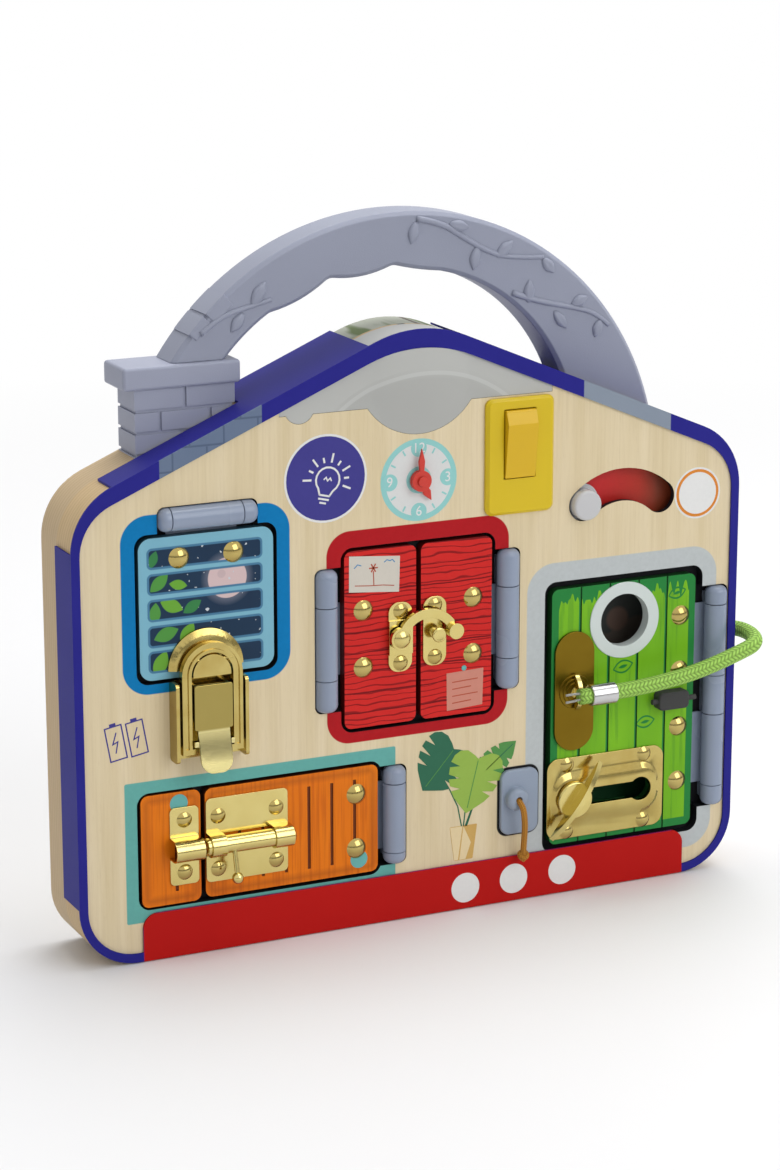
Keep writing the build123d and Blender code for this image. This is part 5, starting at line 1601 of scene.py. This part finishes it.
@dataclass(frozen=True)
class Body:
    """The boards, the card round them, and the prints on the bare wood."""

    badge: tuple[float, float, float] = (-40.2, 185.4, 17.5)
    clock: tuple[float, float, float] = (-0.4, 181.0, 16.5)
    ringed_disc: tuple[float, float, float] = (125.8, 163.2, 10.7)
    dots: tuple[tuple[float, float, float], ...] = ((20.6, 9.2, 6.3), (42.6, 9.8, 6.3), (65.0, 10.2, 6.3))
    band_face: float = -19.0
    print_lift: float = 0.05

    def layer(self, number: int) -> float:
        """Return how near a layer of print lies."""
        return FRONT - self.print_lift * number

    def build(self) -> None:
        """Dress the boards and lay the prints."""
        cover("front_board", Finish.BIRCH)
        cover("rear_board", Finish.BACK)
        cover("card_surround", Finish.CARD)
        cover("picture_boards", Finish.PICTURES)
        self.print_light_badge()
        self.print_clock()
        self.print_plant()
        self.print_cells()
        self.print_round_labels()

    def print_light_badge(self) -> None:
        """Draw a lamp with its rays on a dark disc."""
        x, z, radius = self.badge
        shape = Shape()
        shape.disc(x, z, radius, self.layer(1), Finish.WHITE_INK)
        shape.disc(x, z, radius - 0.9, self.layer(2), Finish.NAVY_INK)
        tilt = Matrix.Rotation(math.radians(-14), 2)
        middle = Vector((x + 0.6, z - 1.6))

        def spot(across: float, up: float) -> Point:
            """Return a point of the drawing on the board."""
            return tuple(middle + tilt @ Vector((across, up)))

        angles = [math.radians(degree) for degree in range(-140, 141, 20)]
        glass = [spot(5.0 * math.sin(angle), 1.0 + 5.0 * math.cos(angle)) for angle in angles]
        shape.stroke([spot(-2.1, -5.2), *glass, spot(2.1, -5.2)], 0.75, self.layer(3), Finish.WHITE_INK)
        for level in (-5.2, -6.7, -8.2):
            half = 2.3 if level > -8 else 1.4
            shape.stroke([spot(-half, level), spot(half, level)], 0.75, self.layer(3), Finish.WHITE_INK)
        shape.stroke(
            [spot(-1.7, 0.8), spot(-0.9, 1.9), spot(0.0, 0.6), spot(0.9, 1.9), spot(1.7, 0.8)],
            0.5,
            self.layer(3),
            Finish.WHITE_INK,
        )
        for angle in range(-100, 101, 25):
            turn = math.radians(angle)
            near, far = (6.9, 10.6) if angle % 50 == 0 else (6.9, 9.0)
            ray = [
                spot(near * math.sin(turn), 1.0 + near * math.cos(turn)),
                spot(far * math.sin(turn), 1.0 + far * math.cos(turn)),
            ]
            shape.stroke(ray, 0.8, self.layer(3), Finish.WHITE_INK)
        shape.piece("light_badge", "board")

    def print_clock(self) -> None:
        """Draw the dial with its numbers and minute marks."""
        x, z, radius = self.clock
        shape = Shape()
        shape.disc(x, z, radius, self.layer(1), Finish.PALE_TEAL_INK)
        shape.disc(x, z, radius - 2.2, self.layer(2), Finish.FACE_INK)
        for number in range(1, 13):
            turn = math.radians(number * 30)
            side = (math.sin(turn), math.cos(turn))
            if number % 3:
                mark = [(x + side[0] * reach, z + side[1] * reach) for reach in (11.6, 13.9)]
                shape.stroke(mark, 0.7, self.layer(3), Finish.PALE_TEAL_INK)
                continue
            spot = (x + side[0] * 12.6, z + side[1] * 12.6)
            shape.disc(*spot, 3.4, self.layer(3), Finish.PALE_TEAL_INK)
            shape.numeral(str(number), spot[0], spot[1], 4.2, self.layer(4), Finish.WHITE_INK)
        shape.disc(x, z, 5.4, self.layer(3), Finish.PALE_TEAL_INK)
        shape.piece("clock_dial", "board")

    def print_plant(self) -> None:
        """Draw a leafy plant in a faceted pot."""
        shape = Shape()
        front = self.layer(1)
        pot = [(13.8, 35.6), (26.2, 35.6), (24.2, 21.0), (15.8, 21.0)]
        shape.slab(pot, front, Finish.POT_DARK, rounding=0.5)
        shape.slab([(14.0, 35.4), (19.6, 35.4), (17.6, 21.2), (15.9, 21.2)], self.layer(2), Finish.POT_PALE)
        shape.slab([(20.0, 35.4), (23.4, 28.0), (21.0, 21.2), (18.2, 21.2)], self.layer(2), Finish.POT_PALE)
        for stem in (
            [(19.2, 35.2), (17.4, 44.0), (13.6, 52.0)],
            [(20.0, 35.2), (20.8, 42.0), (22.0, 48.0)],
            [(20.8, 35.2), (25.6, 47.0), (31.5, 59.0)],
            [(21.4, 35.2), (23.2, 40.0), (24.6, 44.0)],
        ):
            shape.stroke(stem, 0.55, front, Finish.LEAF_DARK)
        self.split_leaf(shape, (15.6, 68.6), (21.0, 27.0), 228.0, Finish.LEAF_DARK, 2)
        self.split_leaf(shape, (26.6, 63.0), (23.0, 25.0), 256.0, Finish.LEAF_LIGHT, 4)
        self.split_leaf(shape, (29.8, 57.6), (17.5, 13.0), 38.0, Finish.LEAF_MID, 3)
        shape.piece("plant_print", "board")

    def split_leaf(
        self, shape: Shape, stalk: Point, size: Point, turn: float, finish: Finish, layer: int
    ) -> None:
        """Draw one heart-shaped leaf with slits from its rim.

        Args:
            shape: the print it belongs to.
            stalk: where its stalk joins.
            size: its length and breadth.
            turn: which way it points, in degrees.
            finish: its ink.
            layer: which layer of print it lies in.
        """
        half = [
            (-0.06, 0.08),
            (-0.13, 0.22),
            (-0.11, 0.35),
            (-0.02, 0.44),
            (0.11, 0.48),
            (0.17, 0.30),
            (0.21, 0.48),
            (0.34, 0.47),
            (0.385, 0.25),
            (0.43, 0.45),
            (0.55, 0.40),
            (0.575, 0.20),
            (0.64, 0.36),
            (0.75, 0.28),
            (0.86, 0.16),
            (1.0, 0.0),
        ]
        outline = [(0.0, 0.0), *half, *[(along, -side) for along, side in reversed(half[:-1])]]
        swing = Matrix.Rotation(math.radians(turn), 2)

        def spot(along: float, side: float) -> Point:
            """Return a point of the leaf on the board."""
            return tuple(Vector(stalk) + swing @ Vector((along * size[0], side * size[1])))

        shape.slab([spot(along, side) for along, side in outline], self.layer(layer), finish)
        rib = [spot(along, 0.0) for along in (0.03, 0.90)]
        vein = Finish.LEAF_MID if finish is not Finish.LEAF_MID else Finish.LEAF_DARK
        shape.stroke(rib, 0.35, self.layer(layer + 1), vein)

    def print_cells(self) -> None:
        """Draw two small power cells side by side."""
        shape = Shape()
        swing = Matrix.Rotation(math.radians(10), 2)
        for offset in (-4.3, 4.3):
            middle = Vector((-124.2, 91.5)) + Vector((offset, offset * 0.12))

            def spot(across: float, up: float) -> Point:
                """Return a point of the drawing on the board."""
                return tuple(middle + swing @ Vector((across, up)))

            case = [spot(-3.4, -7.4), spot(3.4, -7.4), spot(3.4, 6.2), spot(-3.4, 6.2), spot(-3.4, -7.4)]
            shape.stroke(case, 0.55, self.layer(1), Finish.NAVY_INK)
            shape.stroke([spot(-1.3, 7.0), spot(1.3, 7.0)], 1.1, self.layer(1), Finish.NAVY_INK)
            bolt = [spot(0.9, 3.6), spot(-1.3, -0.8), spot(0.9, -0.2), spot(-0.7, -4.6)]
            shape.stroke(bolt, 0.5, self.layer(1), Finish.NAVY_INK)
        shape.piece("cell_print", "board")

    def print_round_labels(self) -> None:
        """Lay the bare ringed disc and the three bare discs on the band."""
        shape = Shape()
        x, z, radius = self.ringed_disc
        shape.disc(x, z, radius, self.layer(1), Finish.WHITE_INK)
        shape.disc(x, z, radius - 0.8, self.layer(2), Finish.ORANGE_INK)
        shape.disc(x, z, radius - 2.0, self.layer(3), Finish.WHITE_INK)
        for x, z, radius in self.dots:
            shape.disc(x, z, radius, self.band_face - self.print_lift, Finish.WHITE_INK, self.band_face)
        shape.piece("round_labels", "board")


@dataclass(frozen=True)
class Carrier:
    """The arch and the chimney, with the stones and vines moulded on the arch."""

    face: float = -2.0
    centre: Point = (0.0, 168.0)
    stones: tuple[Box, ...] = ((-45.2, -40.0, 110.8, 116.5), (-50.2, -45.8, 112.6, 116.5))
    stone_depth: tuple[float, float] = (-2.5, 13.5)
    vine_radius: float = 1.25
    vine_taper: float = 0.7
    leaf_rise: float = 1.6
    left_vine: tuple[Point, ...] = (
        (-84.8, 242.6),
        (-79.4, 246.6),
        (-73.2, 249.6),
        (-64.3, 251.7),
        (-55.6, 253.7),
    )
    top_vine: tuple[Point, ...] = (
        (6.2, 280.9),
        (16.3, 279.0),
        (26.8, 272.1),
        (36.9, 266.1),
        (47.1, 262.8),
        (61.8, 262.2),
    )
    right_vine: tuple[Point, ...] = (
        (48.2, 248.8),
        (58.5, 244.9),
        (74.8, 241.3),
        (86.2, 238.0),
        (92.0, 232.6),
    )
    leaves: tuple[tuple[float, float, float, float, float], ...] = (
        (-60.6, 256.4, 10.5, 5.4, 58.0),
        (-69.6, 245.8, 9.0, 4.8, -128.0),
        (4.8, 275.4, 9.0, 4.8, -104.0),
        (24.6, 277.0, 9.0, 4.4, -12.0),
        (31.6, 263.6, 9.5, 5.0, -100.0),
        (44.6, 266.6, 9.5, 4.8, 40.0),
        (64.2, 258.6, 8.0, 4.6, -50.0),
        (55.6, 249.0, 9.5, 4.8, 88.0),
        (69.9, 236.4, 9.5, 4.4, -52.0),
        (78.6, 243.6, 8.0, 4.6, 20.0),
        (86.8, 231.6, 7.5, 4.6, -108.0),
    )

    def build(self) -> None:
        """Refine the mouldings and grow the relief."""
        refine("handle_arch", Finish.STONE, 0.5, 40.0)
        refine("chimney", Finish.BRICK, 0.8, 40.0)
        shape = Shape()
        near, far = self.stone_depth
        for start, end, low, high in self.stones:
            angles = [math.radians(start + (end - start) * step / 4) for step in range(5)]
            rim = [(high, angle) for angle in angles] + [(low, angle) for angle in reversed(angles)]
            around = [(self.centre[0] + r * math.sin(a), self.centre[1] + r * math.cos(a)) for r, a in rim]
            shape.slab(around, near, Finish.STONE, far, 0.0, 0.45)
        for vine in (self.left_vine, self.top_vine, self.right_vine):
            route = [(x, self.face, z) for x, z in vine]
            shape.tube(route, self.vine_radius, Finish.STONE, 10, self.vine_taper)
        for x, z, long, broad, turn in self.leaves:
            shape.leaf(x, z, (long, broad), turn, self.face, self.leaf_rise, Finish.STONE)
        shape.piece("arch_relief", "board")


@dataclass(frozen=True)
class LampAndSwitch:
    """The roof lamp with its light strip, batteries and rocker switch."""

    def build(self) -> None:
        """Dress the lamp, the switch and what feeds them."""
        refine("lamp_cover", Finish.LAMP, 0.0, 50.0)
        cover("light_board", Finish.STRIP)
        cover("battery_box", Finish.BLACK)
        cover("battery_cells", Finish.STEEL)
        refine("battery_cover", Finish.BLACK, 0.3)
        refine("battery_screw", Finish.STEEL, 0.1)
        refine("switch_plate", Finish.SWITCH, 0.4)
        refine("rocker", Finish.ROCKER, 0.5, 24.0)


@dataclass(frozen=True)
class Dials:
    """The clock's hands and the arc slider."""

    def build(self) -> None:
        """Dress the hands, the slider and its backing."""
        refine("minute_hand", Finish.CLOCK_RED, 0.2)
        refine("hour_hand", Finish.CLOCK_RED, 0.2)
        refine("clock_pin", Finish.CLOCK_RED, 0.2)
        cover("slot_backing", Finish.ARC)
        refine("slide_button", Finish.BUTTON, 0.2)


@dataclass(frozen=True)
class Hinges:
    """The moulded hinges of all doors."""

    def build(self) -> None:
        """Dress knuckles, leaves and pins."""
        leaves = ("window_leaf", "red_left_leaf", "red_right_leaf", "orange_leaf", "green_leaves")
        for node in ("hinge_knuckles", *leaves):
            refine(node, Finish.HINGE, 0.35)
        cover("hinge_pins", Finish.STEEL)


@dataclass(frozen=True)
class Shutter:
    """The window shutter and its toggle latch."""

    def build(self) -> None:
        """Dress the shutter, its rivets and the latch."""
        refine("window_panel", Finish.WINDOW, 0.35)
        refine("window_rivets", Finish.RIVET, 0.0)
        refine("window_strike", Finish.PLATE, 0.25)
        refine("latch_bail", Finish.PLATE, 0.3)
        refine("latch_base", Finish.PLATE, 0.25)
        refine("latch_lever", Finish.LATCH, 0.35)
        refine("keeper_rivets", Finish.RIVET)


@dataclass(frozen=True)
class RedDoors:
    """The pair of red doors, the hasp between them and the notes on them."""

    note: tuple[Point, ...] = ((-30.5, 138.8), (-8.9, 136.8), (-8.5, 151.3), (-30.4, 153.3))
    list_box: tuple[Point, ...] = ((12.3, 85.0), (28.1, 85.9), (28.5, 101.1), (12.1, 100.6))
    paper_lift: float = 0.08
    ink_lift: float = 0.04
    flower: Point = (-20.0, 147.6)
    petal: float = 1.9
    skies: tuple[tuple[Point, ...], ...] = (
        ((-15.4, 149.4), (-14.2, 150.3), (-12.8, 149.8), (-11.8, 150.2), (-10.8, 149.0)),
        ((-28.3, 148.2), (-26.8, 149.6), (-25.2, 149.0)),
    )

    def build(self) -> None:
        """Dress both doors, the hasp and the drawn notes."""
        refine("red_door_left", Finish.RED_DOOR, 0.35)
        refine("red_door_right", Finish.RED_DOOR, 0.35)
        for node in ("red_left_rivets", "red_right_rivets"):
            refine(node, Finish.RIVET)
        for node in ("hasp_plate", "hasp_arm", "hasp_staple"):
            refine(node, Finish.BRASS, 0.25)
        left = Shape()
        face = FRONT - self.paper_lift
        left.slab(self.note, face, Finish.PAPER_INK)
        top = face - self.ink_lift
        ground = [(-28.0, 141.2), (-22.0, 140.6), (-16.0, 140.3), (-11.0, 139.6)]
        left.stroke(ground, 0.35, top, Finish.RUST_INK)
        left.stroke([(-19.8, 140.5), (-20.0, 146.4)], 0.4, top, Finish.RUST_INK)
        x, z = self.flower
        for angle in range(0, 360, 60):
            turn = math.radians(angle)
            petal = (x + self.petal * math.cos(turn), z + self.petal * math.sin(turn))
            left.stroke([self.flower, petal], 0.55, top, Finish.RUST_INK)
        for sky in self.skies:
            left.stroke(sky, 0.4, top, Finish.BLUE_INK)
        left.piece("drawing_note", "red_left")
        right = Shape()
        right.slab(self.list_box, face, Finish.PINK_INK)
        for row in range(4):
            level = 96.6 - row * 2.9
            right.stroke([(14.6, level), (26.0 - row % 2 * 3.0, level + 0.5)], 0.4, top, Finish.RUST_INK)
        right.disc(19.8, 102.0, 1.1, FRONT - 0.3, Finish.TEAL_INK, rim=0.15)
        right.piece("list_note", "red_right")


@dataclass(frozen=True)
class OrangeDoor:
    """The orange door with its barrel bolt."""

    dots: tuple[Point, ...] = ((-103.1, 62.7), (-26.5, 28.3))
    dot_radius: float = 3.7

    def build(self) -> None:
        """Dress the door, the fixed panel beside it and the bolt."""
        refine("orange_door", Finish.ORANGE_DOOR, 0.3)
        refine("orange_fixed_panel", Finish.ORANGE_DOOR, 0.3)
        refine("orange_rivets", Finish.RIVET)
        for node in ("bolt_guide", "bolt_keeper", "slide_bolt"):
            refine(node, Finish.BRASS, 0.25)
        for (x, z), body, name in zip(self.dots, ("board", "orange_door"), ("fixed_dot", "door_dot")):
            shape = Shape()
            shape.disc(x, z, self.dot_radius, FRONT - 0.06, Finish.TEAL_INK)
            shape.piece(name, body)


@dataclass(frozen=True)
class GreenDoor:
    """The green door with its key, porthole and thumb-turn slot."""

    thread_radius: float = 0.5

    def build(self) -> None:
        """Dress the door and all that is fixed to it."""
        refine("green_door", Finish.GREEN_DOOR, 0.35)
        refine("green_rivets", Finish.RIVET)
        refine("escutcheon", Finish.SATIN, 0.3)
        refine("key", Finish.BRASS, 0.3)
        refine("slot_plate", Finish.PLATE, 0.3)
        refine("thumb_turn", Finish.BRASS, 0.4)
        cover("slot_shoe", Finish.STEEL)
        refine("porthole_ring", Finish.RING, 0.25)
        refine("cord_clip", Finish.BLACK, 0.25)
        refine("ferrule", Finish.STEEL, 0.2)
        self.tie_threads()

    def tie_threads(self) -> None:
        """Loop the white thread between the key and the ferrule."""
        shape = Shape()
        for drop in (1.6, -1.4):
            loop = [
                (60.6, -28.4, 86.4 + drop),
                (64.6, -30.4, 87.4 + drop),
                (69.4, -30.4, 87.2 + drop / 2),
                (71.4, -30.0, 87.2),
            ]
            shape.tube(loop, self.thread_radius, Finish.THREAD, 10)
        shape.piece("thread_loop", "green_door")


@dataclass(frozen=True)
class GreyKnob:
    """The grey plate and knob that hold the orange string."""

    def build(self) -> None:
        """Dress the plate with its knob."""
        refine("knob_plate", Finish.GREY, 0.4)


def main() -> None:
    """Build the studio, then every sub-assembly in order."""
    logging.basicConfig(level=logging.INFO, format="%(name)s: %(message)s")
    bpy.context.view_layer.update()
    studio = Studio()
    studio.set_camera()
    Cords().build()
    for assembly in (
        Body(),
        Carrier(),
        LampAndSwitch(),
        Dials(),
        Hinges(),
        Shutter(),
        RedDoors(),
        OrangeDoor(),
        GreenDoor(),
        GreyKnob(),
    ):
        assembly.build()
        LOG.info("%s done", type(assembly).__name__)
    studio.lay_floor()
    studio.light()


if __name__ == "__main__":
    main()
